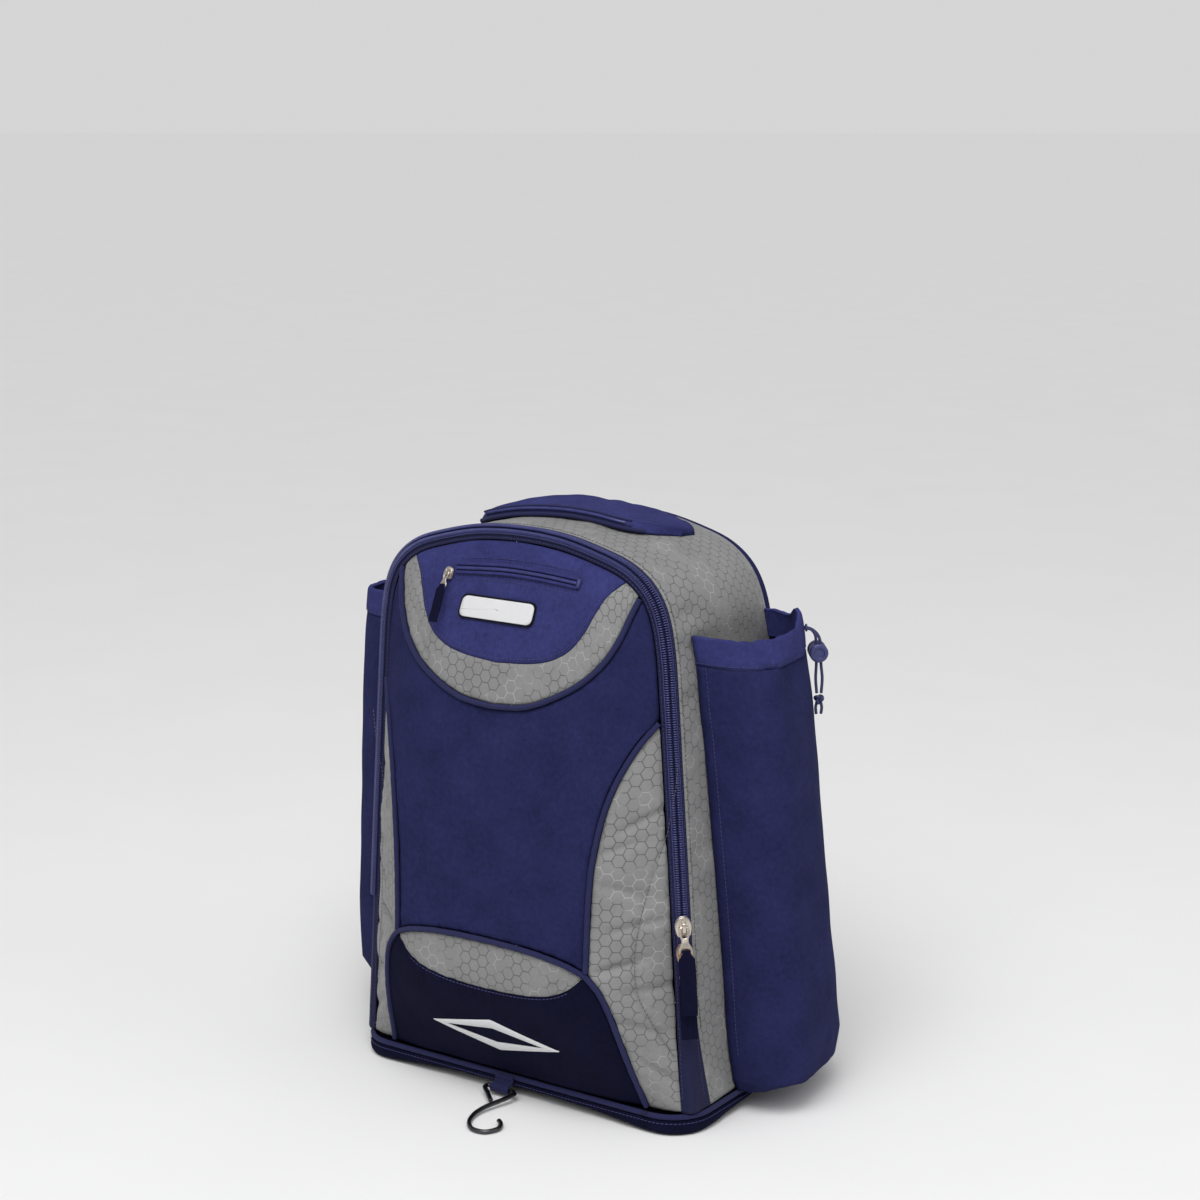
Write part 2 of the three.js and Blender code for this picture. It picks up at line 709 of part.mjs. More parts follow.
function gussetPoint(p, d, lift = 0) {
  const front = archPoint(p, GUSSET_EDGE);
  const back = backEdge(p);
  const fromCrown = Math.abs(p - 0.5) * 2;
  const foldDepth = GUSSET_FOLDS.reduce((sum, fold) => {
    return sum + fold.depth * dent(fromCrown - fold.fromCrown, fold.tall) * dent(d - fold.fromDoor, fold.deep);
  }, 0);
  const shoulder = p > 0.5 ? 'right' : 'left';
  const swell = readTable(GUSSET_SWELL, 'fromCrown', shoulder, fromCrown) * Math.sin(Math.PI * d);
  const rearY = backY(back.y) - BACK_PAD - GAP;
  return new THREE.Vector3(
    THREE.MathUtils.lerp(front.x, back.x, d),
    THREE.MathUtils.lerp(gussetFrontY(front.y), rearY, d),
    THREE.MathUtils.lerp(front.y, back.y, d),
  ).addScaledVector(archNormal(p), swell - foldDepth * Math.sin(Math.PI * d) + lift);
}

// The gusset's right side, and its top, read at a place
function gussetSideX(y, height) {
  const p = archAtHeight(height, GUSSET_EDGE);
  const rearY = backY(height) - BACK_PAD - GAP;
  const d = THREE.MathUtils.clamp(THREE.MathUtils.inverseLerp(gussetFrontY(height), rearY, y), 0, 1);
  return gussetPoint(p, d).x;
}

function gussetTopZ(x, y) {
  const rearY = backY(ZIP_CROWN) - BACK_PAD - GAP;
  const d = THREE.MathUtils.clamp(THREE.MathUtils.inverseLerp(GUSSET_FRONT_Y, rearY, y), 0, 1);
  let low = 0.2;
  let high = 0.8;
  for (let step = 0; step < 30; step += 1) {
    const middle = (low + high) / 2;
    if (gussetPoint(middle, d).x < x) low = middle;
    else high = middle;
  }
  return gussetPoint((low + high) / 2, d).z;
}

function buildGusset() {
  const deep = 6;
  const grid = Array.from({ length: deep + 1 }, (_, r) => archStations.map((p) => gussetPoint(p, r / deep)));
  addPiece('gusset', wall(grid, CLOTH), 'grey');
}

// The main zip: a tape bent over the corner between the door and the gusset, and the coil on it

const TAPE_THICKNESS = 1.2;
const TAPE_SECTION = [
  { outward: -8.8, y: -108.4 },
  { outward: -3, y: -107.5 },
  { outward: 1.2, y: -104 },
];
const COIL = { halfWidth: 4.6, halfHeight: 1.7, lift: 0.4, leftEnd: 0.11, rightEndHeight: 142 };

function tapePoint(p, column) {
  if (column < TAPE_SECTION.length) {
    const corner = archPoint(p, TAPE_SECTION[column].outward);
    return new THREE.Vector3(corner.x, TAPE_SECTION[column].y, corner.y);
  }
  const edge = archPoint(p, GUSSET_EDGE - 0.1);
  return new THREE.Vector3(edge.x, gussetFrontY(edge.y) - 0.6, edge.y);
}

// The zip's own directions at a place on the arch: along it, across it and off its face
function zipFrame(p) {
  const inner = tapePoint(p, 1);
  const outer = tapePoint(p, 2);
  const across = outer.clone().sub(inner).normalize();
  const tangent = archCurve.getTangentAt(THREE.MathUtils.clamp(p, 0, 1));
  const up = new THREE.Vector3(tangent.x, 0, tangent.y);
  const out = up.clone().cross(across).normalize();
  if (out.y > 0) out.negate();
  return { middle: inner.add(outer).multiplyScalar(0.5), across, up, out };
}

function buildZip() {
  const tape = Array.from({ length: 4 }, (_, row) => archStations.map((p) => tapePoint(p, row)));
  addPiece('zipper_tape', wall(tape, TAPE_THICKNESS), 'navy');

  const rightEnd = archAtHeight(COIL.rightEndHeight);
  const section = [[-1, 0], [-0.6, 1], [0.6, 1], [1, 0], [0.6, -1], [-0.6, -1]];
  const underCoil = archStations.filter((p) => p > COIL.leftEnd && p < rightEnd);
  const rings = [COIL.leftEnd, ...underCoil, rightEnd].map((p) => {
    const place = zipFrame(p);
    return section.map(([across, high]) => place.middle.clone()
      .addScaledVector(place.across, across * COIL.halfWidth)
      .addScaledVector(place.out, COIL.lift + COIL.halfHeight * (1 + high)));
  });
  addPiece('zipper_coil', loft(rings), 'darkNavy');
}

// Sliders, pullers and their cloth tabs. In a slider's own frame x is across the zip, y up along it and z
// off its face. The bridge is the small arch that the puller's top bar turns in.

const SLIDER = { length: 16, width: 13, height: 4.6, bridgeWidth: 2.4, bridgeHeight: 4, bridgeWall: 1.1 };
const PULLER = { width: 8.5, endWidth: 11, length: 20, thickness: 1.6, bar: 1.6, windowLength: 7, windowWidth: 3.8 };
const PULL_TAB = { width: 12.4, length: 50, thickness: 2.4 };
const PIVOT_HEIGHT = SLIDER.height + 1.45;

function sliderGeometry(scale) {
  const { length, width, height, bridgeWidth, bridgeHeight, bridgeWall } = SLIDER;
  const plan = new THREE.Shape();
  plan.moveTo(-width * 0.36, -length / 2);
  plan.lineTo(width * 0.36, -length / 2);
  plan.lineTo(width / 2, length * 0.05);
  plan.lineTo(width * 0.42, length * 0.36);
  plan.lineTo(width * 0.16, length / 2);
  plan.lineTo(-width * 0.16, length / 2);
  plan.lineTo(-width * 0.42, length * 0.36);
  plan.lineTo(-width / 2, length * 0.05);
  plan.closePath();
  const bevel = 0.5;
  const body = new THREE.ExtrudeGeometry(plan, {
    depth: height - 2 * bevel, bevelEnabled: true, bevelThickness: bevel, bevelSize: bevel,
    bevelOffset: -bevel, bevelSegments: 1,
  }).translate(0, 0, bevel);
  const arch = new THREE.Shape();
  const halfSpan = length * 0.3;
  arch.moveTo(-halfSpan, height - 0.6);
  arch.lineTo(-halfSpan, height + bridgeHeight * 0.6);
  arch.lineTo(-halfSpan * 0.6, height + bridgeHeight);
  arch.lineTo(halfSpan * 0.6, height + bridgeHeight);
  arch.lineTo(halfSpan, height + bridgeHeight * 0.6);
  arch.lineTo(halfSpan, height - 0.6);
  arch.lineTo(halfSpan - bridgeWall, height - 0.6);
  arch.lineTo(halfSpan - bridgeWall, height + bridgeHeight * 0.5);
  arch.lineTo(halfSpan * 0.5, height + bridgeHeight - bridgeWall);
  arch.lineTo(-halfSpan * 0.5, height + bridgeHeight - bridgeWall);
  arch.lineTo(-halfSpan + bridgeWall, height + bridgeHeight * 0.5);
  arch.lineTo(-halfSpan + bridgeWall, height - 0.6);
  arch.closePath();
  const bridge = new THREE.ExtrudeGeometry(arch, { depth: bridgeWidth, bevelEnabled: false });
  const upright = new THREE.Matrix4().makeBasis(
    new THREE.Vector3(0, 1, 0),
    new THREE.Vector3(0, 0, 1),
    new THREE.Vector3(1, 0, 0),
  ).setPosition(-bridgeWidth / 2, 0, 0);
  const slider = toSolid(body).add(toSolid(bridge, upright));
  return fromSolid(slider).scale(scale, scale, scale);
}

// The puller hangs from its bar at the origin, along -y.
function pullerGeometry(scale) {
  const { width, endWidth, length, thickness, bar, windowLength, windowWidth } = PULLER;
  const plate = new THREE.Shape();
  plate.moveTo(-width * 0.35, bar / 2);
  plate.lineTo(width * 0.35, bar / 2);
  plate.lineTo(width / 2, -bar);
  plate.lineTo(width / 2, -length * 0.6);
  plate.lineTo(endWidth / 2, -length);
  plate.lineTo(endWidth / 2 - 2, -length);
  plate.lineTo(endWidth / 2 - 2.6, -length * 0.82);
  plate.lineTo(-endWidth / 2 + 2.6, -length * 0.82);
  plate.lineTo(-endWidth / 2 + 2, -length);
  plate.lineTo(-endWidth / 2, -length);
  plate.lineTo(-width / 2, -length * 0.6);
  plate.lineTo(-width / 2, -bar);
  plate.closePath();
  const opening = new THREE.Path();
  opening.moveTo(-windowWidth / 2, -bar / 2);
  opening.lineTo(-windowWidth / 2, -bar / 2 - windowLength);
  opening.lineTo(windowWidth / 2, -bar / 2 - windowLength);
  opening.lineTo(windowWidth / 2, -bar / 2);
  opening.closePath();
  plate.holes.push(opening);
  const geometry = new THREE.ExtrudeGeometry(plate, { depth: thickness, bevelEnabled: false });
  return geometry.translate(0, 0, -thickness / 2).scale(scale, scale, scale);
}

// A cloth tab that hangs from the puller's fork and droops back by the given angle.
function tabGeometry(scale, droop) {
  const top = -PULLER.length * 0.82 - 0.4;
  const narrow = PULLER.endWidth / 2 - 2.9;
  const rows = [
    { down: 0, half: narrow },
    { down: 0.09, half: narrow },
    { down: 0.16, half: PULL_TAB.width / 2 },
    { down: 0.4, half: PULL_TAB.width / 2 },
    { down: 0.7, half: PULL_TAB.width / 2 },
    { down: 1, half: PULL_TAB.width / 2 - 0.5 },
  ];
  const rings = rows.map((row) => {
    const y = top - row.down * PULL_TAB.length;
    const z = -Math.tan(droop) * PULL_TAB.length * row.down * row.down;
    const high = PULL_TAB.thickness / 2;
    return [[-1, -1], [1, -1], [1, 1], [-1, 1]].map(([x, side]) => {
      return new THREE.Vector3(x * row.half, y, z + side * high);
    });
  });
  return loft(rings).scale(scale, scale, scale);
}

const PULLS = [
  { name: 'upper', height: 168, scale: 1, tilt: 15, droop: 12 },
  { name: 'lower', height: 147, scale: 1, tilt: 1, droop: 0 },
];

function addPull(name, frame, scale, tiltDegrees, droopDegrees, lift) {
  const slider = new THREE.Group();
  slider.matrixAutoUpdate = false;
  slider.matrix.makeBasis(frame.across, frame.up, frame.out);
  slider.matrix.setPosition(frame.middle.clone().addScaledVector(frame.out, lift));
  bag.add(slider);
  addPiece(`${name}_slider`, sliderGeometry(scale), 'nickel', slider);
  const swing = new THREE.Group();
  swing.position.set(0, 0, PIVOT_HEIGHT * scale);
  swing.rotation.x = -THREE.MathUtils.degToRad(tiltDegrees);
  slider.add(swing);
  addPiece(`${name}_puller`, pullerGeometry(scale), 'nickel', swing);
  addPiece(`${name}_tab`, tabGeometry(scale, THREE.MathUtils.degToRad(droopDegrees)), 'darkNavy', swing);
}

function buildPulls() {
  const aboveCoil = COIL.lift + 2 * COIL.halfHeight + GAP;
  PULLS.forEach((pull) => {
    const frame = zipFrame(archAtHeight(pull.height));
    frame.up.negate();
    frame.across.crossVectors(frame.up, frame.out);
    addPull(`zipper_${pull.name}`, frame, pull.scale, pull.tilt, pull.droop, aboveCoil);
  });
}

// The short zip of the yoke pocket, between two welts

const YOKE_ZIP = [
  { x: -50, z: 427.5 },
  { x: -5, z: 430.5 },
  { x: 33, z: 430 },
  { x: 66, z: 427.5 },
];
const YOKE_ZIP_HALF_WIDTH = 4.6;
const YOKE_ZIP_LIFT = 2;
const YOKE_SLIDER = { x: -54, z: 423, scale: 0.62, tilt: 6, droop: 3 };

function buildYokeZip() {
  const line = spline(flat(YOKE_ZIP), 24);
  const steps = 12;
  const grid = [-1, 0, 1].map((side) => Array.from({ length: steps + 1 }, (_, i) => {
    const place = along(line, i / steps);
    const tangent = along(line, Math.min(1, (i + 0.5) / steps)).sub(along(line, Math.max(0, (i - 0.5) / steps)));
    const across = new THREE.Vector2(-tangent.y, tangent.x).normalize();
    const centre = place.addScaledVector(across, side * YOKE_ZIP_HALF_WIDTH);
    return doorPointRaised(centre, YOKE_ZIP_LIFT + (side === 0 ? 0.8 : 0));
  }));
  addPiece('yoke_zip', wall(grid, YOKE_ZIP_LIFT - GAP - 0.2), 'navy');

  const place = new THREE.Vector2(YOKE_SLIDER.x - 2, YOKE_SLIDER.z);
  const out = doorNormal(place);
  const across = new THREE.Vector3(1, 0, 0).cross(out).cross(out).negate().normalize();
  const up = out.clone().cross(across).normalize();
  const frame = { middle: doorPoint(place), across, up, out };
  addPull('yoke', frame, YOKE_SLIDER.scale, YOKE_SLIDER.tilt, YOKE_SLIDER.droop, GAP + 0.5);
}

// The padded back panel

function buildBackPanel() {
  const outline = archStations.map((p) => backEdge(p));
  const centre = new THREE.Vector2(0, ZIP_CROWN * 0.45);
  const layers = [
    { inset: 0.99, forward: BACK_PAD },
    { inset: 1, forward: BACK_PAD * 0.55 },
    { inset: 0.99, forward: BACK_PAD * 0.25 },
    { inset: 0.93, forward: 0 },
    { inset: 0.5, forward: 0 },
  ];
  const rings = layers.map((layer) => outline.map((point) => {
    const place = centre.clone().lerp(point, layer.inset);
    place.y = Math.max(place.y, WALL_FOOT + (1 - layer.inset) * 90);
    return new THREE.Vector3(place.x, backY(place.y) - layer.forward, place.y);
  }));
  addPiece('back_panel', loft(rings), 'darkNavy');
}

// The base board and the piping that stands on its rim

// A ring far inside the rim keeps corners of this radius.
const LEAST_CORNER = 6;

function basePlan(inset) {
  const corners = [
    { x: BODY_SIDE, y: BASE.front, radius: BASE.frontCorner, from: 0 },
    { x: BODY_SIDE, y: BASE.back, radius: BASE.backCorner, from: 90 },
    { x: -BODY_SIDE, y: BASE.back, radius: BASE.backCorner, from: 180 },
    { x: -BODY_SIDE, y: BASE.front, radius: BASE.frontCorner, from: 270 },
  ];
  const perCorner = 5;
  return corners.flatMap((corner) => {
    const radius = Math.max(corner.radius, inset + LEAST_CORNER);
    const centreX = corner.x - Math.sign(corner.x) * radius;
    const centreY = corner.y - Math.sign(corner.y) * radius;
    return Array.from({ length: perCorner + 1 }, (_, i) => {
      const angle = THREE.MathUtils.degToRad(corner.from - 90 + (i / perCorner) * 90);
      const reach = radius - inset;
      return new THREE.Vector2(centreX + reach * Math.cos(angle), centreY + reach * Math.sin(angle));
    });
  });
}

function buildBase() {
  const depth = BASE.height + BASE.sag;
  const rings = BASE_LEVELS.map((level) => basePlan(level.inset).map((point) => {
    const toCorner = Math.hypot(Math.abs(point.x) - BASE_RIM.cornerX, point.y - BASE_RIM.cornerY);
    const rise = BASE_RIM.rise * (1 - dent(toCorner, BASE_RIM.reach)) * level.follows;
    return new THREE.Vector3(point.x, point.y, level.height * depth - BASE.sag + rise);
  }));
  addPiece('base_panel', loft(rings), 'darkNavy');

  const middle = BASE.height + GAP + BASE_PIPING_RADIUS;
  const sides = 6;
  const path = basePlan(BASE_PIPING_RADIUS);
  const piping = path.map((point, i) => {
    const before = path[(i + path.length - 1) % path.length];
    const after = path[(i + 1) % path.length];
    const tangent = after.clone().sub(before).normalize();
    const outward = new THREE.Vector2(tangent.y, -tangent.x);
    return Array.from({ length: sides }, (_, k) => {
      const angle = ((k + 0.5) / sides) * 2 * Math.PI;
      const reach = BASE_PIPING_RADIUS * Math.cos(angle);
      return new THREE.Vector3(
        point.x + outward.x * reach,
        point.y + outward.y * reach,
        middle + BASE_PIPING_RADIUS * Math.sin(angle),
      );
    });
  });
  addPiece('base_piping', loft(piping, true), 'navy');
}

// The bat sleeves

function sleeveX(y, height) {
  return gussetSideX(y, Math.max(height, WALL_FOOT + 1)) + SLEEVE_CLEARANCE;
}

// round runs from 0 at the front seam to 1 at the rear seam. Side is 1 for the right sleeve, -1 for the left.
function sleevePoint(side, level, round, relief = 0) {
  const angle = round * Math.PI;
  const forward = Math.cos(angle);
  const power = 2 / (forward > 0 ? SLEEVE_SQUARENESS.front : SLEEVE_SQUARENESS.rear);
  const reachAlong = Math.sign(forward) * Math.abs(forward) ** power;
  const reachOut = Math.sin(angle) ** power;
  const rearY = backY(level.z) - SLEEVE_REAR_INSET;
  const middle = (level.frontY + rearY) / 2;
  const half = ((rearY - level.frontY) / 2) * level.reach;
  const y = middle - reachAlong * half;
  const bulge = side > 0 ? level.right : level.left;
  const out = reachOut * (bulge * (1 + SLEEVE_SKEW * reachAlong) - relief);
  return new THREE.Vector3(side * (sleeveX(y, level.z) + Math.max(0, out)), y, level.z);
}

function sleeveRelief(round) {
  return SLEEVE_FOLDS.reduce((sum, fold) => sum + fold.depth * dent(round - fold.round, fold.width), 0);
}

function hemRelief(round) {
  return HEM_GATHER.depth * Math.sin(round * HEM_GATHER.waves * 2 * Math.PI);
}

function sleeveGrid(side, levels, columns, relief) {
  return levels.map((level) => Array.from({ length: columns + 1 }, (_, c) => {
    return sleevePoint(side, level, c / columns, relief(c / columns));
  }));
}

function buildSleeve(side) {
  const label = side > 0 ? 'right' : 'left';
  const columns = 16;
  const levels = sleeveGrid(side, SLEEVE_LEVELS, columns, sleeveRelief);
  addPiece(`bat_sleeve_${label}`, wall(levels, CLOTH, -side), 'navy');
  const hem = sleeveGrid(side, HEM_LEVELS, columns, hemRelief);
  hem[0].forEach((point, c) => {
    point.z += HEM_PEAK.height * dent(c / columns - HEM_PEAK.round, HEM_PEAK.width);
  });
  addPiece(`sleeve_hem_${label}`, wall(hem, HEM_THICKNESS, -side), 'paleNavy');
}

// The flat pocket over the crown

function topPocketPoint(x, share, lift = 0) {
  const front = readTable(TOP_POCKET, 'x', 'front', x);
  const back = readTable(TOP_POCKET, 'x', 'back', x);
  const rise = readTable(TOP_POCKET, 'x', 'rise', x);
  const y = THREE.MathUtils.lerp(front, back, share);
  const crown = 1 - Math.abs(2 * share - 1) ** 5;
  return new THREE.Vector3(x, y, gussetTopZ(x, y) + 2.2 + lift + rise * crown);
}

function buildTopPocket() {
  const columns = 11;
  const shares = [0, 0.015, 0.06, 0.25, 0.55, 0.85, 0.97, 1];
  const left = TOP_POCKET[0].x;
  const right = TOP_POCKET[TOP_POCKET.length - 1].x;
  const grid = shares.map((share) => Array.from({ length: columns + 1 }, (_, c) => {
    return topPocketPoint(THREE.MathUtils.lerp(left, right, c / columns), share);
  }));
  addPiece('top_pocket', wall(grid, 1.6), 'paleNavy');

  const frontLine = (forward, high, from, to, steps) => Array.from({ length: steps + 1 }, (_, i) => {
    const x = THREE.MathUtils.lerp(left + from, right - to, i / steps);
    const foot = topPocketPoint(x, 0);
    return new THREE.Vector3(x, foot.y - forward, foot.z + high);
  });
  addPiece('top_pocket_piping', tube(frontLine(3.2, 0.8, 2, 12, 12), 2, 6, 14), 'navy');
  addPiece('top_pocket_zip', tube(frontLine(2.6, 5.1, 14, 26, 12), 1.7, 6, 12), 'darkNavy');
}

// The hook on its webbing tab. It lies on the surface that the bag stands on.

const WIRE = 1.9;
const HOOK_BAR = { y: -127.3, z: 3, fall: 0.08 };
const HOOK_TAB = { left: -15.5, right: 2, thickness: 1.6 };
// Places along the wire, forward of the bar, from the end of the eye round to the open end
const HOOK_WIRE = [
  { x: -1.5, forward: 21 },
  { x: -12, forward: 11.5 },
  { x: -20.5, forward: 3.5 },
  { x: -19.5, forward: 0.3 },
  { x: -8, forward: 0 },
  { x: 3.5, forward: 0.3 },
  { x: 8.6, forward: 3 },
  { x: 8.2, forward: 9 },
  { x: 4.6, forward: 22 },
  { x: 1.5, forward: 34 },
  { x: 1.5, forward: 47 },
  { x: 6.5, forward: 60 },
  { x: 17, forward: 68.5 },
  { x: 28, forward: 67 },
  { x: 33, forward: 57 },
  { x: 30, forward: 49.5 },
  { x: 25.5, forward: 46 },
];

function buildHook() {
  const path = HOOK_WIRE.map((place) => {
    return new THREE.Vector3(place.x, HOOK_BAR.y - place.forward, Math.max(HOOK_BAR.z - HOOK_BAR.fall * place.forward, WIRE - BASE.sag + 0.2));
  });
  addPiece('fence_hook', tube(path, WIRE, 6, 40), 'gunmetal');

  const wrap = WIRE + 0.4 + HOOK_TAB.thickness / 2;
  const line = [
    new THREE.Vector2(BASE.front - 0.85, 12.6),
    new THREE.Vector2(BASE.front - 1.3, HOOK_BAR.z + wrap + 1.2),
    ...Array.from({ length: 7 }, (_, i) => {
      const angle = Math.PI / 2 + (i / 6) * Math.PI;
      return new THREE.Vector2(HOOK_BAR.y + wrap * Math.cos(angle), HOOK_BAR.z + wrap * Math.sin(angle));
    }),
    new THREE.Vector2(BASE.front - 1.6, HOOK_BAR.z - wrap + 0.5),
  ];
  const offset = (distance) => line.map((point, i) => {
    const before = line[Math.max(0, i - 1)];
    const after = line[Math.min(line.length - 1, i + 1)];
    const tangent = after.clone().sub(before).normalize();
    return new THREE.Vector2(-tangent.y, tangent.x).multiplyScalar(distance).add(point);
  });
  const outline = [...offset(HOOK_TAB.thickness / 2), ...offset(-HOOK_TAB.thickness / 2).reverse()];
  const ribbon = new THREE.ExtrudeGeometry(new THREE.Shape(outline), {
    depth: HOOK_TAB.right - HOOK_TAB.left, bevelEnabled: false,
  });
  ribbon.applyMatrix4(new THREE.Matrix4().makeBasis(
    new THREE.Vector3(0, 1, 0),
    new THREE.Vector3(0, 0, 1),
    new THREE.Vector3(1, 0, 0),
  ).setPosition(HOOK_TAB.left, 0, 0));
  addPiece('hook_tab', ribbon, 'navy');
}

// The drawcord ends of each hem, the lock on them and the knot that joins them

const CORD_RADIUS = 1.2;
const CORD_STRANDS = [-2.2, 2.2];
const EYELET = { round: 0.68, z: 382 };
const LOCK = { z: 362, radius: 7.5, depth: 11, slotAcross: 7.4, slotAlong: 4, boreRadius: 4.9, boreFrom: 1.7, sides: 14 };
const LOCK_BUTTON = { depth: 4.5, travel: 2.7, stemRadius: 4.5, stemLength: 4.2 };
const KNOT = { z: 324, radius: 4.6 };
const LOCK_SLOT_ROW = 4;

// The eyelet's place on the hem, the way off the hem and the way round it to the rear
function cordAnchor(side) {
  const place = sleevePoint(side, HEM_LEVELS[2], EYELET.round);
  const near = sleevePoint(side, HEM_LEVELS[2], EYELET.round + 0.01);
  const rearward = near.sub(place).setZ(0).normalize();
  const out = new THREE.Vector3(rearward.y, -rearward.x, 0).multiplyScalar(side);
  return { place: place.setZ(EYELET.z), out, rearward };
}

// Places down a cord end. The two ends lie side by side on the hem and one behind the other in the lock.
const CORD_ROUTE = [
  { out: -0.5, beside: 1.7, behind: 0, z: 382 },
  { out: 4.8, beside: 1.7, behind: 0, z: 380.8 },
  { out: 9, beside: 1.3, behind: 1, z: 376.5 },
  { out: 10.6, beside: 0.4, behind: 1.7, z: 371 },
  { out: 11, beside: 0, behind: 1.8, z: 362 },
  { out: 11.4, beside: 0, behind: 1.9, z: 352 },
  { out: 11.8, beside: 0, behind: 2.6, z: 341 },
  { out: 12, beside: 0, behind: 1.8, z: KNOT.z + KNOT.radius + 0.3 },
];

function buildCords(side) {
  const label = side > 0 ? 'right' : 'left';
  const anchor = cordAnchor(side);
  const place = (outward, rearward, z) => anchor.place.clone()
    .addScaledVector(anchor.out, outward)
    .addScaledVector(anchor.rearward, rearward)
    .setZ(z);
  [-1, 1].forEach((end) => {
    const path = CORD_ROUTE.map((row) => place(row.out + row.behind * end, row.beside * end, row.z));
    const name = `drawcord_${label}_${end < 0 ? 'front' : 'rear'}`;
    addPiece(name, tube(path, CORD_RADIUS, 8, 10), 'darkNavy');
  });

  const centre = place(CORD_ROUTE[LOCK_SLOT_ROW].out, 0, LOCK.z);
  const up = new THREE.Vector3(0, 0, 1);
  const axis = anchor.rearward;
  const turned = new THREE.Quaternion().setFromUnitVectors(new THREE.Vector3(0, 1, 0), axis);
  const barrel = new THREE.LatheGeometry([
    new THREE.Vector2(0, -LOCK.depth / 2),
    new THREE.Vector2(LOCK.radius * 0.8, -LOCK.depth / 2),
    new THREE.Vector2(LOCK.radius, -LOCK.depth * 0.28),
    new THREE.Vector2(LOCK.radius, LOCK.depth * 0.28),
    new THREE.Vector2(LOCK.radius * 0.86, LOCK.depth / 2),
    new THREE.Vector2(0, LOCK.depth / 2),
  ], LOCK.sides);
  const placed = new THREE.Matrix4().compose(centre, turned, new THREE.Vector3(1, 1, 1));
  const slot = new THREE.BoxGeometry(LOCK.slotAcross, LOCK.slotAlong, 4 * LOCK.radius);
  const upright = new THREE.Matrix4().makeBasis(axis.clone().cross(up), axis, up).setPosition(centre);
  const bore = new THREE.CylinderGeometry(LOCK.boreRadius, LOCK.boreRadius, LOCK.depth, LOCK.sides);
  bore.translate(0, LOCK.depth / 2 + LOCK.boreFrom, 0);
  const body = toSolid(barrel, placed).subtract(toSolid(slot, upright)).subtract(toSolid(bore, placed));
  addPiece(`cord_lock_${label}`, fromSolid(body), 'moulded');

  const button = addPiece(`cord_lock_button_${label}`, new THREE.LatheGeometry([
    new THREE.Vector2(0, -LOCK_BUTTON.stemLength),
    new THREE.Vector2(LOCK_BUTTON.stemRadius, -LOCK_BUTTON.stemLength),
    new THREE.Vector2(LOCK_BUTTON.stemRadius, 0),
    new THREE.Vector2(LOCK.radius * 0.9, 0),
    new THREE.Vector2(LOCK.radius, LOCK_BUTTON.depth * 0.4),
    new THREE.Vector2(LOCK.radius * 0.8, LOCK_BUTTON.depth),
    new THREE.Vector2(0, LOCK_BUTTON.depth),
  ], LOCK.sides), 'moulded');
  button.position.copy(centre).addScaledVector(axis, LOCK.depth / 2 + LOCK_BUTTON.travel + GAP);
  button.quaternion.copy(turned);

  const knot = addPiece(`cord_knot_${label}`, new THREE.SphereGeometry(KNOT.radius, 8, 6), 'darkNavy');
  knot.position.copy(place(CORD_ROUTE[CORD_ROUTE.length - 1].out, 0, KNOT.z));
  knot.rotation.x = Math.PI / 2;
}

// The harness on the back

const STRAP = { width: 62, thickness: 9 };
const STRAP_ROUTE = [
  { x: 46, off: 5.2, z: 434, width: 0.9 },
  { x: 50, off: 8.5, z: 400, width: 1 },
  { x: 60, off: 14, z: 362, width: 1.04 },
  { x: 76, off: 18, z: 318, width: 1.05 },
  { x: 90, off: 17, z: 272, width: 1 },
  { x: 98, off: 12, z: 232, width: 0.85 },
  { x: 101, off: 9, z: 212, width: 0.62 },
];
const WEBBING = { width: 25, thickness: 1.6 };
const WEBBING_ROUTE = [
  { x: 104, off: 7.6, z: 181.1 },
  { x: 112, off: 5, z: 140 },
  { x: 122, off: 3.2, z: 90 },
  { x: 132, off: 1.3, z: 44 },
];
const BUCKLE = { x: 102.5, off: 8.3, z: 195.8, width: 33, height: 24, thickness: 4 };

function strapRings(route, side, width, thickness) {
  const points = route.map((row) => new THREE.Vector3(row.x * side, backY(row.z) + row.off, row.z));
  return route.map((row, i) => {
    const before = points[Math.max(0, i - 1)];
    const after = points[Math.min(points.length - 1, i + 1)];
    const run = after.clone().sub(before).normalize();
    const rearward = new THREE.Vector3(0, 1, 0).addScaledVector(run, -run.y).normalize();
    const across = run.clone().cross(rearward).normalize();
    const half = (width * (row.width ?? 1)) / 2;
    const corners = [[-1, 0], [-0.88, -1], [0.88, -1], [1, 0], [0.88, 1], [-0.88, 1]];
    return corners.map(([x, y]) => points[i].clone()
      .addScaledVector(across, x * half)
      .addScaledVector(rearward, (y * thickness) / 2));
  });
}

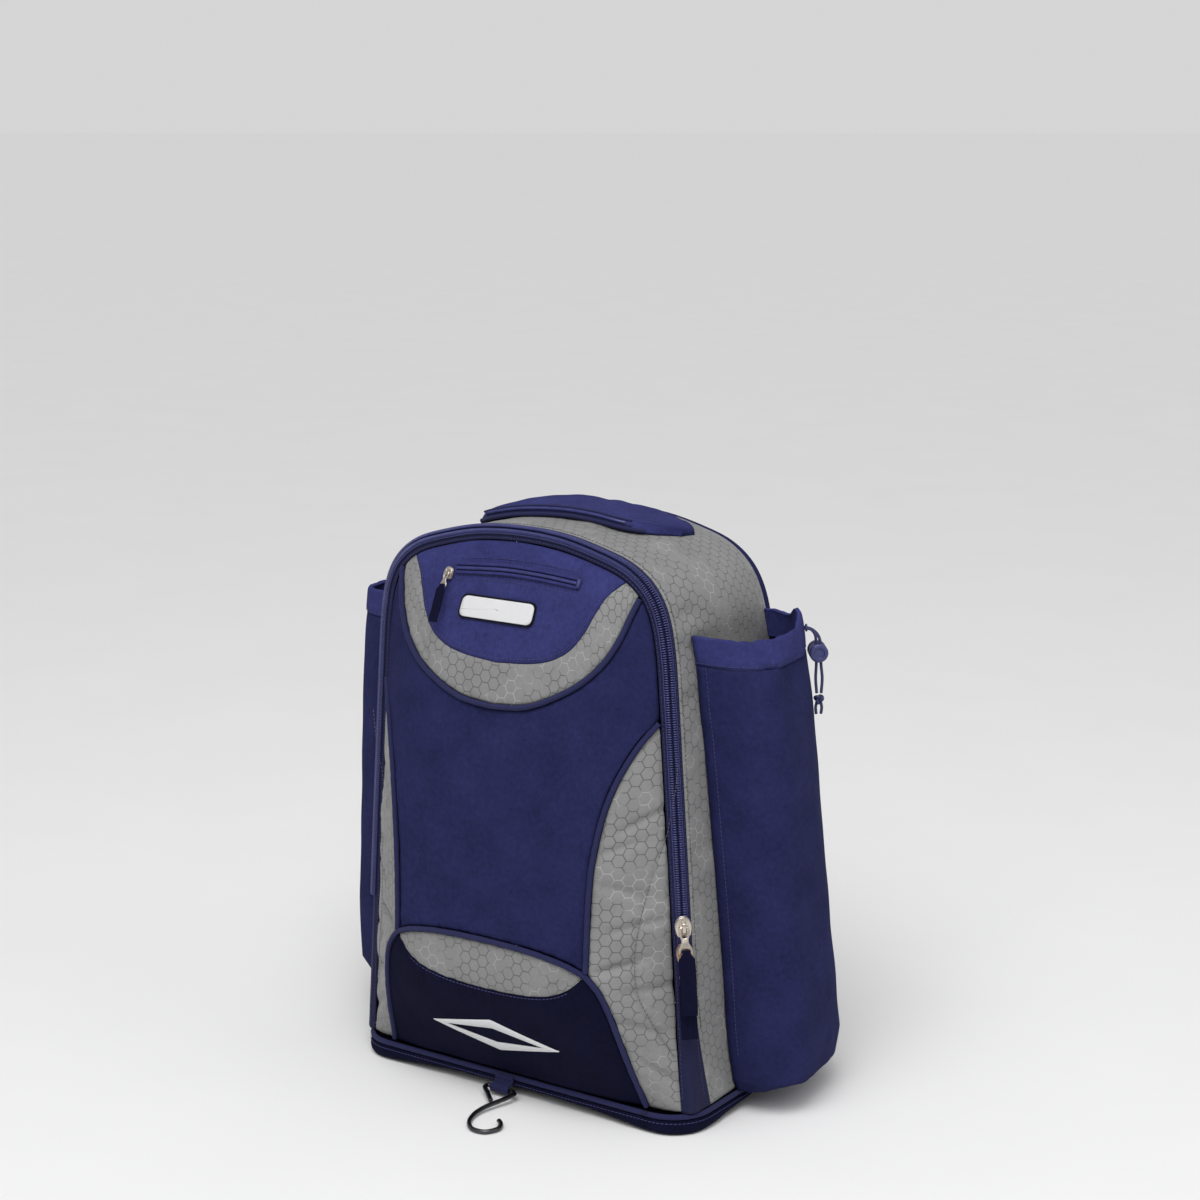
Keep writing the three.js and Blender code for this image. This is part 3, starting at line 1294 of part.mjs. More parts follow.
function buildHarness(side) {
  const label = side > 0 ? 'right' : 'left';
  addPiece(`shoulder_strap_${label}`, loft(strapRings(STRAP_ROUTE, side, STRAP.width, STRAP.thickness)), 'navy');
  const webbing = loft(strapRings(WEBBING_ROUTE, side, WEBBING.width, WEBBING.thickness));
  addPiece(`strap_webbing_${label}`, webbing, 'darkNavy');

  const frame = new THREE.Shape();
  const halfWidth = BUCKLE.width / 2;
  const halfHeight = BUCKLE.height / 2;
  frame.moveTo(-halfWidth, -halfHeight);
  frame.lineTo(halfWidth, -halfHeight);
  frame.lineTo(halfWidth, halfHeight);
  frame.lineTo(-halfWidth, halfHeight);
  frame.closePath();
  [-1, 1].forEach((row) => {
    const slot = new THREE.Path();
    const middle = row * halfHeight * 0.46;
    slot.moveTo(-halfWidth + 3.5, middle - 1.8);
    slot.lineTo(-halfWidth + 3.5, middle + 1.8);
    slot.lineTo(halfWidth - 3.5, middle + 1.8);
    slot.lineTo(halfWidth - 3.5, middle - 1.8);
    slot.closePath();
    frame.holes.push(slot);
  });
  const plate = new THREE.ExtrudeGeometry(frame, { depth: BUCKLE.thickness, bevelEnabled: false });
  const buckle = addPiece(`strap_buckle_${label}`, plate.translate(0, 0, -BUCKLE.thickness / 2), 'moulded');
  buckle.position.set(BUCKLE.x * side, backY(BUCKLE.z) + BUCKLE.off, BUCKLE.z);
  buckle.rotation.set(Math.PI / 2 + Math.atan(BACK_LEAN), 0, 0);
}

const HAUL_LOOP = { halfSpan: 17, off: 20, z: 446, width: 20, thickness: 2, ends: 0.7 };

function buildHaulLoop() {
  const steps = 10;
  const rings = Array.from({ length: steps + 1 }, (_, i) => {
    const angle = (i / steps) * Math.PI;
    const bow = Math.sin(angle) ** 0.8;
    const x = -HAUL_LOOP.halfSpan * Math.cos(angle) * (1 + 0.12 * bow);
    const y = backY(HAUL_LOOP.z - HAUL_LOOP.width) + HAUL_LOOP.ends + HAUL_LOOP.off * bow;
    const outward = new THREE.Vector2(-Math.cos(angle), Math.sin(angle)).normalize();
    return [[-1, -1], [1, -1], [1, 1], [-1, 1]].map(([high, thick]) => new THREE.Vector3(
      x + (outward.x * thick * HAUL_LOOP.thickness) / 2,
      y + (outward.y * thick * HAUL_LOOP.thickness) / 2,
      HAUL_LOOP.z - HAUL_LOOP.width / 2 + (high * HAUL_LOOP.width) / 2,
    ));
  });
  addPiece('haul_loop', loft(rings), 'darkNavy');
}

buildBase();
buildBackPanel();
buildGusset();
buildDoor();
buildPipings();
buildZip();
buildPulls();
buildYokeZip();
[1, -1].forEach(buildSleeve);
buildTopPocket();
buildHook();
[1, -1].forEach(buildCords);
[1, -1].forEach(buildHarness);
buildHaulLoop();

export default bag;
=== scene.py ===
"""Looks of a baseball bat backpack: cloth, piping, zips, cords and metal over its fixed CAD frame."""

import math

import bmesh
import bpy
import numpy as np
from bpy.props import FloatProperty, FloatVectorProperty, PointerProperty
from mathutils import Matrix, Vector


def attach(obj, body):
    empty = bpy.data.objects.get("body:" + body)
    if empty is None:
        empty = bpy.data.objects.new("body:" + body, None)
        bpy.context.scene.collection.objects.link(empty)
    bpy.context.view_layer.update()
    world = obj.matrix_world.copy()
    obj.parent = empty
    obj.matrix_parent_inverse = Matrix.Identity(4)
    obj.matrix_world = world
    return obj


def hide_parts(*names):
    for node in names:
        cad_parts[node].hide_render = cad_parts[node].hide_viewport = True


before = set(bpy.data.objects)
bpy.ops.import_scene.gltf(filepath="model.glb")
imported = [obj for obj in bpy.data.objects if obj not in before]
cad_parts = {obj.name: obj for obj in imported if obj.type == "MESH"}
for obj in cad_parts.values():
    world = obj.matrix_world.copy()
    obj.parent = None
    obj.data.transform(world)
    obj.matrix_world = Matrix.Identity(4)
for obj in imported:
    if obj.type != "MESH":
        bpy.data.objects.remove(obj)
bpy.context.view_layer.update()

bl_info = {
    "name": "Baseball bat backpack",
    "version": (1, 0, 0),
    "blender": (4, 5, 0),
    "location": "View3D > Sidebar > Backpack",
    "description": "Builds the cloth, zips, cords and metal of a baseball bat backpack",
    "category": "Object",
}

# All tables below are in millimetres, with heights measured from the lower edge of the base's rim.
MM = 0.001
SAG = 4.0

ZIP_ARCH = [(164, 15), (158.5, 95), (153, 180), (147, 265), (141.5, 343), (138, 381), (132, 408),
            (121, 427), (103, 441), (78, 450), (40, 458.5)]
ZIP_CROWN = 461
WALL_FOOT = 15
DOOR_EDGE = -9
GUSSET_EDGE = 2
DOOR_EDGE_Y = -109
GUSSET_FRONT_Y = -97
STRIP_WIDENING = 15
STRIP_TOP = 110
DOOR_SQUARENESS = 4
DOOR_BULGE = [(15, 11), (60, 37), (105, 50), (140, 49), (250, 46), (350, 32), (400, 22), (430, 12),
              (453, 0.5)]
SEAM = 0.12
PIPED_SEAM = 2.3
BAND_LOWER_SEAM = [(0, 327), (30, 330), (55, 339.5), (78, 353), (95, 370), (105, 388), (111, 406)]
BAND_LOWER_END = 420
YOKE_SEAM = [(0, 361), (30, 363.5), (50, 368), (66, 377), (77, 391), (85, 408), (92, 421)]
YOKE_SEAM_END = 431
YOKE_CORNER_X = 77
KNEE = (93, 126.5)
SIDE_SEAM = [KNEE, (93.5, 160), (94.5, 190), (97, 220), (103, 255), (111, 282), (122, 307)]
SIDE_SEAM_END = 326
SIDE_PANEL_TOP = 321
POCKET_SIDE_SEAM = [(127, 15), (122.5, 38), (118, 62), (111.5, 92), (104, 113), KNEE]
POCKET_TOP_SEAM = [KNEE, (77, 133), (54, 137.5), (28, 139.5), (0, 140)]
LENS_SEAM = [KNEE, (80, 114), (62, 105.5), (35, 101), (0, 99.5)]
LENS_HALF_WIDTH = 89
DART_SEAM = [(150, 296), (147, 270), (140, 236), (133, 200), (128, 168), (126, 140), (129, 112), (139, 84), (150, 60)]
BACK_FOOT_Y = 104
BACK_LEAN = 0.1077
BACK_PAD = 10
BACK_NARROWING = 0.94
BACK_LOWERING = 0.993
GAP = 0.3
SWELL_RIGHT = [(0, 1), (0.12, 3.5), (0.24, 7.5), (0.36, 7), (0.6, 5), (0.85, 3), (1, 0.5)]
SWELL_LEFT = [(0, 1), (0.12, 0), (0.24, -1), (0.36, 3), (0.6, 5), (0.85, 3), (1, 0.5)]
# Each fold of the gusset: place from the crown, place from the door, depth, height and reach
GUSSET_FOLDS = [(0.2, 0.55, 2.5, 0.03, 0.3), (0.33, 0.2, 2.5, 0.025, 0.2), (0.42, 0.12, 2, 0.03, 0.12),
                (0.9, 0.15, 1.5, 0.04, 0.15)]
BODY_SIDE = 168
BASE_FRONT = -121.5
BASE_BACK = 105
BASE_HEIGHT = 9
BASE_RIM_RISE = 7
# A ring far inside the rim keeps corners of this radius
LEAST_CORNER = 6
# Each level of a bat sleeve: height, bulge of the right and of the left one, reach and front place
SLEEVE_LEVELS = [(365, 54, 54, 1, -75.5), (300, 56.5, 60, 1, -70), (220, 57, 65, 1, -64.5),
                 (150, 56.5, 70, 1, -59.5), (90, 56, 74, 1, -55.5), (46, 55.5, 72, 1, -52),
                 (24, 50, 52, 0.97, -50), (14, 28, 28, 0.9, -50), (15.2, 8, 8, 0.86, -50),
                 (17.4, 1.8, 1.8, 0.84, -50)]
HEM_LEVELS = [(388, 51.5, 53, 1, -78), (382, 53, 54.4, 1, -77.4), (372, 53.6, 55, 1, -76.4),
              (365.6, 53.2, 54.3, 1, -75.7)]
SLEEVE_REAR_INSET = 13
SLEEVE_FRONT_POWER = 2 / 3.2
SLEEVE_REAR_POWER = 2 / 2.3
SLEEVE_SKEW = 0.12
SLEEVE_CLEARANCE = 0.9
# The length round a wall, on which its ripples are counted, and the rows of its straight part
SLEEVE_ROUND = 230
WALL_ROWS = 84
SLEEVE_FOLDS = [(0.16, 0.035, 2.2), (0.45, 0.05, 1.6), (0.72, 0.05, 2)]
HEM_WAVES = 7
HEM_PEAK = (0.7, 0.07, 9)
# Each section of the top pocket: place across, front, back and rise
TOP_POCKET = [(-84, -46, 14, 10), (-62, -56, 28, 10.5), (-34, -56, 36, 9), (0, -52, 38, 5),
              (34, -53, 36, 3), (62, -50, 30, 4.5), (80, -34, 20, 4.5), (89, -12, 8, 3.5)]
CORD_RADIUS = 1.2
EYELET_ROUND = 0.68
CORD_ROUTE = [(-0.5, 1.7, 0, 382), (4.8, 1.7, 0, 380.8), (9, 1.3, 1, 376.5), (10.6, 0.4, 1.7, 371),
              (11, 0, 1.8, 362), (11.4, 0, 1.9, 352), (11.8, 0, 2.6, 341), (12, 0, 1.8, 328.9)]
LOCK_Z = 362
LOCK_RADIUS = 7.5
LOCK_DEPTH = 11
KNOT_Z = 324


# ---- reading tables and curves

def hermite(rows, column, at):
    """A smooth value between the rows of a table, read on its first column."""
    table = np.array(rows, float)
    keys, values = table[:, 0], table[:, column]
    at = np.clip(np.asarray(at, float), keys[0], keys[-1])
    i = np.clip(np.searchsorted(keys, at, side="left") - 1, 0, len(keys) - 2)
    low = np.maximum(np.arange(len(keys)) - 1, 0)
    high = np.minimum(np.arange(len(keys)) + 1, len(keys) - 1)
    slope = (values[high] - values[low]) / (keys[high] - keys[low])
    span = keys[i + 1] - keys[i]
    t = (at - keys[i]) / span
    return ((2 * t ** 3 - 3 * t ** 2 + 1) * values[i] + (t ** 3 - 2 * t ** 2 + t) * span * slope[i]
            + (3 * t ** 2 - 2 * t ** 3) * values[i + 1] + (t ** 3 - t ** 2) * span * slope[i + 1])


def catmull(points, per_span=40):
    """A uniform Catmull-Rom curve through points, with clamped ends."""
    points = np.array(points, float)
    padded = np.vstack([points[:1], points, points[-1:]])
    t = np.linspace(0, 1, per_span, endpoint=False)[:, None]
    parts = []
    for i in range(len(points) - 1):
        a, b, c, d = padded[i:i + 4]
        v0, v1 = (c - a) / 2, (d - b) / 2
        parts.append((2 * b - 2 * c + v0 + v1) * t ** 3 + (3 * c - 3 * b - 2 * v0 - v1) * t ** 2 + v0 * t + b)
    return np.vstack(parts + [points[-1:]])


def lengths(points):
    steps = np.linalg.norm(np.diff(points, axis=0), axis=1)
    return np.concatenate([[0], np.cumsum(steps)])


def spaced(points, shares):
    """Points of a line at shares of its length."""
    run = lengths(points)
    at = np.asarray(shares, float) * run[-1]
    return np.stack([np.interp(at, run, points[:, k]) for k in range(points.shape[1])], axis=-1)


def bump(distance, width):
    return np.exp(-(np.asarray(distance, float) / width) ** 2)


def ramp(value, low, high):
    t = np.clip((np.asarray(value, float) - low) / (high - low), 0, 1)
    return t * t * (3 - 2 * t)


def waves(s, seed, pitch):
    """A calm irregular ripple along s, with a mean pitch."""
    random = np.random.default_rng(seed)
    total = 0
    for stretch in (0.71, 1.0, 1.43, 2.13):
        total = total + np.sin(2 * np.pi * np.asarray(s) / (pitch * stretch) + random.uniform(0, 6.3))
    return total / 2.6


def unit(vectors):
    """The same directions, each of length one."""
    return vectors / np.linalg.norm(vectors, axis=-1, keepdims=True)


def runs(grid, axis):
    """Real lengths along one way of a grid of points, from its first row or column."""
    steps = np.linalg.norm(np.diff(grid, axis=axis), axis=-1)
    return np.insert(np.cumsum(steps, axis=axis), 0, 0, axis=axis)


def mirrored(line):
    return (line * np.array([-1, 1]))[::-1]


# ---- the arch of the main zip, the door and the gusset

_half = np.array(ZIP_ARCH, float)
_arch = catmull(np.vstack([_half * [-1, 1], [[0, ZIP_CROWN]], _half[::-1]]), 60)
_arch_run = lengths(_arch) / lengths(_arch)[-1]
ARCH_LENGTH = lengths(_arch)[-1]
_tangent = unit(np.gradient(_arch, axis=0))


def arch_point(p, outward=0.0):
    """A point of the arch, p from 0 at the left foot to 1 at the right foot, moved outward."""
    p = np.clip(np.asarray(p, float), 0, 1)
    x, z = (np.interp(p, _arch_run, _arch[:, k]) for k in (0, 1))
    tx, tz = (np.interp(p, _arch_run, _tangent[:, k]) for k in (0, 1))
    size = np.hypot(tx, tz)
    return x - tz / size * outward, z + tx / size * outward


def arch_normal(p):
    p = np.clip(np.asarray(p, float), 0, 1)
    tx, tz = (np.interp(p, _arch_run, _tangent[:, k]) for k in (0, 1))
    size = np.hypot(tx, tz)
    return -tz / size, tx / size


def arch_at_height(height, outward=0.0):
    """Where the right half of the arch, moved outward, reaches a height."""
    p = np.linspace(0.5, 1, 1500)
    z = arch_point(p, outward)[1]
    return np.interp(-np.asarray(height, float), -z, p)


_edge_x, _edge_z = arch_point(0.5 + np.arange(241) / 480, DOOR_EDGE)
_edge_x, _edge_z = _edge_x[::-1], _edge_z[::-1]


def door_point(x, z, lift=0.0):
    """The door's outer face over flat places x and z, raised off it by lift."""
    x, z = np.asarray(x, float), np.asarray(z, float)

    def face(x, z):
        half = np.maximum(1, np.where(z > _edge_z[-1], 0, np.interp(z, _edge_z, _edge_x)))
        across = np.minimum(1, np.abs(x) / half)
        return DOOR_EDGE_Y - hermite(DOOR_BULGE, 1, z) * (1 - across ** DOOR_SQUARENESS)

    y = face(x, z)
    if np.all(np.asarray(lift) == 0):
        return np.stack([x + 0 * y, y, z + 0 * y], axis=-1)
    step = 1.5
    slope_x = (face(x + step, z) - face(x - step, z)) / (2 * step)
    slope_z = (face(x, z + step) - face(x, z - step)) / (2 * step)
    normal = np.stack([slope_x, -np.ones_like(y), slope_z], axis=-1)
    return np.stack([x + 0 * y, y, z + 0 * y], axis=-1) + unit(normal) * np.asarray(lift)[..., None]


def door_normal(x, z):
    return door_point(x, z, 1.0) - door_point(x, z)


def back_y(height):
    return BACK_FOOT_Y - BACK_LEAN * np.asarray(height, float)


def gusset_front_y(height):
    low = np.maximum(0, 1 - (np.asarray(height, float) - WALL_FOOT) / (STRIP_TOP - WALL_FOOT))
    return GUSSET_FRONT_Y + STRIP_WIDENING * low ** 1.5


def back_edge(p):
    x, z = arch_point(p, GUSSET_EDGE)
    return x * BACK_NARROWING, WALL_FOOT + (z - WALL_FOOT) * BACK_LOWERING


def gusset_point(p, d, lift=0.0):
    p, d = np.broadcast_arrays(np.asarray(p, float), np.asarray(d, float))
    fx, fz = arch_point(p, GUSSET_EDGE)
    bx, bz = back_edge(p)
    from_crown = np.abs(p - 0.5) * 2
    fold = sum(depth * bump(from_crown - c, tall) * bump(d - f, deep) for c, f, depth, tall, deep in GUSSET_FOLDS)
    swell = np.where(p > 0.5, hermite(SWELL_RIGHT, 1, from_crown), hermite(SWELL_LEFT, 1, from_crown))
    out = (swell - fold) * np.sin(np.pi * d) + lift
    nx, nz = arch_normal(p)
    rear = back_y(bz) - BACK_PAD - GAP
    return np.stack([fx + (bx - fx) * d + nx * out, gusset_front_y(fz) + (rear - gusset_front_y(fz)) * d,
                     fz + (bz - fz) * d + nz * out], axis=-1)


def gusset_side_x(y, height):
    p = arch_at_height(height, GUSSET_EDGE)
    rear = back_y(height) - BACK_PAD - GAP
    d = np.clip((y - gusset_front_y(height)) / (rear - gusset_front_y(height)), 0, 1)
    return gusset_point(p, d)[..., 0]


def gusset_top_z(x, y):
    rear = back_y(ZIP_CROWN) - BACK_PAD - GAP
    d = np.clip((np.asarray(y, float) - GUSSET_FRONT_Y) / (rear - GUSSET_FRONT_Y), 0, 1)
    x, d = np.broadcast_arrays(np.asarray(x, float), d)
    low, high = np.full(x.shape, 0.2), np.full(x.shape, 0.8)
    for _ in range(24):
        middle = (low + high) / 2
        left = gusset_point(middle, d)[..., 0] < x
        low, high = np.where(left, middle, low), np.where(left, high, middle)
    return gusset_point((low + high) / 2, d)[..., 2]


# ---- meshes from grids, rings and lines

def to_frame(points):
    points = np.asarray(points, float).reshape(-1, 3)
    return (points + [0, 0, SAG]) * MM


def add_mesh(name, points, faces, uvs=None, smooth=True):
    """A new object from points in millimetres. uvs holds one place for each point."""
    mesh = bpy.data.meshes.new(name)
    mesh.from_pydata(to_frame(points).tolist(), [], [list(map(int, face)) for face in faces])
    if uvs is not None:
        layer = mesh.uv_layers.new(name="cloth")
        corner = np.empty(len(mesh.loops), int)
        mesh.loops.foreach_get("vertex_index", corner)
        layer.data.foreach_set("uv", (np.asarray(uvs).reshape(-1, 2) * MM)[corner].ravel())
    mesh.polygons.foreach_set("use_smooth", [smooth] * len(mesh.polygons))
    piece = bpy.data.objects.new(name, mesh)
    bpy.context.scene.collection.objects.link(piece)
    return piece


def finish_piece(piece, material, body, replaced=()):
    piece.data.materials.clear()
    piece.data.materials.append(material)
    if replaced:
        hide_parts(*replaced)
    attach(piece, body)
    return piece


def grid_faces(rows, columns, turned=False):
    index = np.arange(rows * columns).reshape(rows, columns)
    quads = np.stack([index[:-1, :-1], index[:-1, 1:], index[1:, 1:], index[1:, :-1]], axis=-1).reshape(-1, 4)
    return quads[:, ::-1] if turned else quads


def grid_normals(grid, turned=False):
    across = np.gradient(grid, axis=1)
    along = np.gradient(grid, axis=0)
    normal = np.cross(across, along)
    normal /= np.maximum(1e-9, np.linalg.norm(normal, axis=-1, keepdims=True))
    return -normal if turned else normal


def grid_uv(grid):
    """Real lengths over a grid of points, measured from the middle column and the middle row."""
    along = np.linalg.norm(np.diff(grid, axis=0), axis=-1)
    u = runs(grid, 1)
    u -= u[:, grid.shape[1] // 2][:, None]
    middle = np.concatenate([[0], np.cumsum(along.mean(axis=1))])
    return np.stack([u, np.repeat(middle[:, None], grid.shape[1], axis=1)], axis=-1)


def sheet_of(name, grid, thickness, turned=False, uv=None, relief=None, edge_roll=0.0, roll_width=3.5):
    """A sewn panel: the grid is its outer face. Its edges roll in by edge_roll towards their seams."""
    grid = np.array(grid, float)
    rows, columns = grid.shape[:2]
    uv = grid_uv(grid) if uv is None else uv
    normal = grid_normals(grid, turned)
    lift = np.zeros((rows, columns)) if relief is None else np.array(relief, float)
    if edge_roll:
        lift = lift - edge_roll * (1 - ramp(edge_distance(grid), 0, roll_width))
    outer = grid + normal * lift[..., None]
    inner = grid + normal * (lift - thickness)[..., None]
    count = rows * columns
    quads = grid_faces(rows, columns, turned)
    index = np.arange(count).reshape(rows, columns)
    rim = np.concatenate([index[0, :-1], index[:-1, -1], index[-1, :0:-1], index[:0:-1, 0]])
    after = np.roll(rim, -1)
    sides = np.stack([after, rim, rim + count, after + count], axis=-1)
    sides = sides[:, ::-1] if turned else sides
    faces = np.vstack([quads, quads[:, ::-1] + count, sides])
    points = np.vstack([outer.reshape(-1, 3), inner.reshape(-1, 3)])
    return add_mesh(name, points, faces, np.vstack([uv.reshape(-1, 2)] * 2))


def edge_distance(grid):
    """Distance of each grid point to the nearest of the grid's four edges."""
    u, v = runs(grid, 1), runs(grid, 0)
    return np.minimum(np.minimum(u, u[:, -1:] - u), np.minimum(v, v[-1:, :] - v))


def frames_along(path):
    """Directions that turn little along a path: the run, and two across it."""
    run = unit(np.gradient(path, axis=0))
    side = np.zeros_like(path)
    start = np.array([0.0, 0, 1]) if abs(run[0][2]) < 0.9 else np.array([1.0, 0, 0])
    for i in range(len(path)):
        start = start - run[i] * np.dot(start, run[i])
        start /= np.linalg.norm(start)
        side[i] = start
    return run, side, np.cross(run, side)


def tube_of(name, path, radius, sides=12, closed=False):
    """A round tube through a path. radius is a number or one for each point."""
    path = np.array(path, float)
    if closed:
        path = np.vstack([path, path[:1]])
    _, side, other = frames_along(path)
    radius = np.broadcast_to(np.asarray(radius, float), (len(path),))
    angle = np.arange(sides) / sides * 2 * np.pi
    rings = (path[:, None] + radius[:, None, None] * (np.cos(angle)[None, :, None] * side[:, None]
             + np.sin(angle)[None, :, None] * other[:, None]))
    count = len(path) - 1 if closed else len(path)
    rings = rings[:count]
    index = np.arange(count * sides).reshape(count, sides)
    follow = np.roll(index, -1, axis=0) if closed else index[1:]
    here = index if closed else index[:-1]
    quads = np.stack([here, np.roll(here, -1, axis=1), np.roll(follow, -1, axis=1), follow], axis=-1)
    faces = [list(q) for q in quads.reshape(-1, 4)]
    run_length = lengths(path)[:count]
    uv = np.stack(np.broadcast_arrays(angle[None, :] * radius[:count, None], run_length[:, None]), axis=-1)
    if not closed:
        faces += [list(index[0, ::-1]), list(index[-1])]
    return add_mesh(name, rings.reshape(-1, 3), faces, uv.reshape(-1, 2))


def ribbon_of(name, path, across, half_width, thickness, out, bulge=0.0, columns=8):
    """A flat strip along a path: across and out are its directions at each point."""
    shares = np.linspace(-1, 1, columns + 1)
    half = np.broadcast_to(np.asarray(half_width, float), (len(path),))
    grid = (path[:, None] + across[:, None] * (shares[None, :] * half[:, None])[..., None]
            + out[:, None] * (bulge * (1 - shares ** 2))[None, :, None])
    turned = np.sum(grid_normals(grid) * out[:, None], axis=-1).mean() < 0
    return sheet_of(name, grid, thickness, turned=turned)


def stitches(name, path, normal, material, body="bag", length=2.7, pitch=3.5, width=0.75, height=0.5):
    """A row of sewn stitches, one small rounded bar each, lying on a surface along a path."""
    path = np.array(path, float)
    total = lengths(path)[-1]
    count = max(1, int(total / pitch))
    at = (np.arange(count) + 0.5) / count
    centre = spaced(path, at)
    ahead = spaced(path, np.minimum(1, at + 0.5 * length / total))
    behind = spaced(path, np.maximum(0, at - 0.5 * length / total))
    run = unit(ahead - behind)
    up = spaced(np.array(normal, float), at)
    up = unit(up - run * np.sum(up * run, axis=1)[:, None])
    side = np.cross(up, run)
    profile = [(-0.5, 0.45, 0.1), (-0.3, 1, 0.8), (0.3, 1, 0.8), (0.5, 0.45, 0.1)]
    section = [(-0.5, 0), (-0.28, 1), (0.28, 1), (0.5, 0)]
    points = []
    for share, wide, high in profile:
        for s, h in section:
            points.append(centre + run * (share * length) + side * (s * width * wide)
                          + up * ((h * high * height) - 0.12))
    points = np.stack(points, axis=1)
    faces = []
    for r in range(3):
        for c in range(3):
            a = r * 4 + c
            faces.append([a, a + 1, a + 5, a + 4])
        faces.append([r * 4 + 3, r * 4, r * 4 + 4, r * 4 + 7])
    faces += [[3, 2, 1, 0], [12, 13, 14, 15]]
    faces = np.array([[i + 16 * k for i in face] for k in range(count) for face in faces])
    piece = add_mesh(name, points.reshape(-1, 3), faces[:, ::-1])
    repair_normals(piece)
    return finish_piece(piece, material, body)


def repair_normals(piece):
    made = bmesh.new()
    made.from_mesh(piece.data)
    bmesh.ops.remove_doubles(made, verts=made.verts, dist=1e-7)
    bmesh.ops.recalc_face_normals(made, faces=made.faces)
    made.to_mesh(piece.data)
    made.free()
    return piece


# ---- materials

class Paint:
    """A node material with one shader, built up by small steps."""

    def __init__(self, name, roughness=0.8, metallic=0.0):
        self.material = bpy.data.materials.new(name)
        self.material.use_nodes = True
        self.tree = self.material.node_tree
        self.shader = self.tree.nodes["Principled BSDF"]
        self.set("Roughness", roughness)
        self.set("Metallic", metallic)

    def set(self, socket, value):
        self.shader.inputs[socket].default_value = value

    def add(self, kind, *values, **settings):
        node = self.tree.nodes.new(kind)
        for key, value in settings.items():
            setattr(node, key, value)
        for i, value in enumerate(values):
            self.feed(node.inputs[i], value)
        return node

    def feed(self, socket, value):
        if isinstance(value, bpy.types.NodeSocket):
            self.tree.links.new(value, socket)
        elif value is not None:
            socket.default_value = value

    def math(self, operation, *values):
        return self.add("ShaderNodeMath", *values, operation=operation).outputs[0]

    def vector(self, operation, *values):
        node = self.add("ShaderNodeVectorMath", *values, operation=operation)
        return node.outputs["Value" if operation in ("LENGTH", "DOT_PRODUCT") else "Vector"]

    def place(self, source):
        """The place on the surface in millimetres, from the cloth's own map or the object."""
        if source == "UV":
            place = self.add("ShaderNodeUVMap", uv_map="cloth").outputs[0]
        else:
            place = self.add("ShaderNodeTexCoord").outputs["Object"]
        return self.vector("MULTIPLY", place, (1000, 1000, 1000))

    def noise(self, place, size, detail=2.0, roughness=0.5):
        node = self.add("ShaderNodeTexNoise")
        self.feed(node.inputs["Vector"], place)
        node.inputs["Scale"].default_value = 1 / size
        node.inputs["Detail"].default_value = detail
        node.inputs["Roughness"].default_value = roughness
        return node.outputs["Fac"]

    def span(self, value, low, high, to_low=0.0, to_high=1.0):
        node = self.add("ShaderNodeMapRange", value, low, high, to_low, to_high)
        return node.outputs[0]

    def blend(self, share, first, second):
        node = self.add("ShaderNodeMix", data_type="RGBA")
        self.feed(node.inputs[0], share)
        self.feed(node.inputs[6], first)
        self.feed(node.inputs[7], second)
        return node.outputs[2]

    def bump(self, height, distance, strength=1.0):
        node = self.add("ShaderNodeBump")
        node.inputs["Strength"].default_value = strength
        node.inputs["Distance"].default_value = distance * MM
        self.feed(node.inputs["Height"], height)
        self.tree.links.new(node.outputs[0], self.shader.inputs["Normal"])

    def weave(self, place, pitch):
        """A plain weave's height, from 0 between the yarns to 1 on them."""
        parts = self.add("ShaderNodeSeparateXYZ", place)
        turn = 2 * math.pi / pitch
        warp = self.math("SINE", self.math("MULTIPLY", parts.outputs[0], turn))
        weft = self.math("SINE", self.math("MULTIPLY", parts.outputs[1], turn))
        return self.math("MULTIPLY_ADD", self.math("MULTIPLY", warp, weft), 0.5, 0.5)


def linear(red, green, blue):
    """A colour of 0 to 255 a channel as the shader reads it."""
    def channel(value):
        value /= 255
        return value / 12.92 if value <= 0.04045 else ((value + 0.055) / 1.055) ** 2.4
    return (channel(red), channel(green), channel(blue), 1)


def shade(colour, factor):
    return (colour[0] * factor, colour[1] * factor, colour[2] * factor, 1)


def woven_cloth(name, colour, pitch=0.85, source="UV", roughness=0.82, contrast=0.75, relief=0.3):
    """Woven cloth: yarns, a fine mottle between them, broad wear, and a soft sheen."""
    paint = Paint(name, roughness)
    place = paint.place(source)
    yarn = paint.weave(place, pitch)
    slub = paint.noise(paint.vector("MULTIPLY", place, (1.0, 0.5, 1.0)), 1.7, 4, 0.75)
    broad = paint.noise(place, 38, 3, 0.6)
    patchy = paint.math("MULTIPLY_ADD", paint.noise(place, 4.5, 3, 0.6), 0.4, paint.math("MULTIPLY", slub, 0.5))
    mottle = paint.math("MULTIPLY_ADD", yarn, 0.25, patchy)
    tone = paint.span(paint.math("MULTIPLY_ADD", broad, 0.5, mottle), 0.35, 1.25)
    paint.feed(paint.shader.inputs["Base Color"],
               paint.blend(tone, shade(colour, 1 - contrast), shade(colour, 1 + contrast)))
    paint.feed(paint.shader.inputs["Roughness"], paint.span(slub, 0.3, 0.7, roughness - 0.08, roughness + 0.1))
    paint.set("Sheen Weight", 0.025)
    paint.set("Sheen Roughness", 0.5)
    paint.set("Sheen Tint", shade(colour, 3.2))
    paint.set("Specular IOR Level", 0.05)
    paint.bump(paint.math("MULTIPLY_ADD", slub, 0.8, yarn), relief)
    return paint.material


HEX_STEP = 8.4
HEX_PERIOD = 9.7


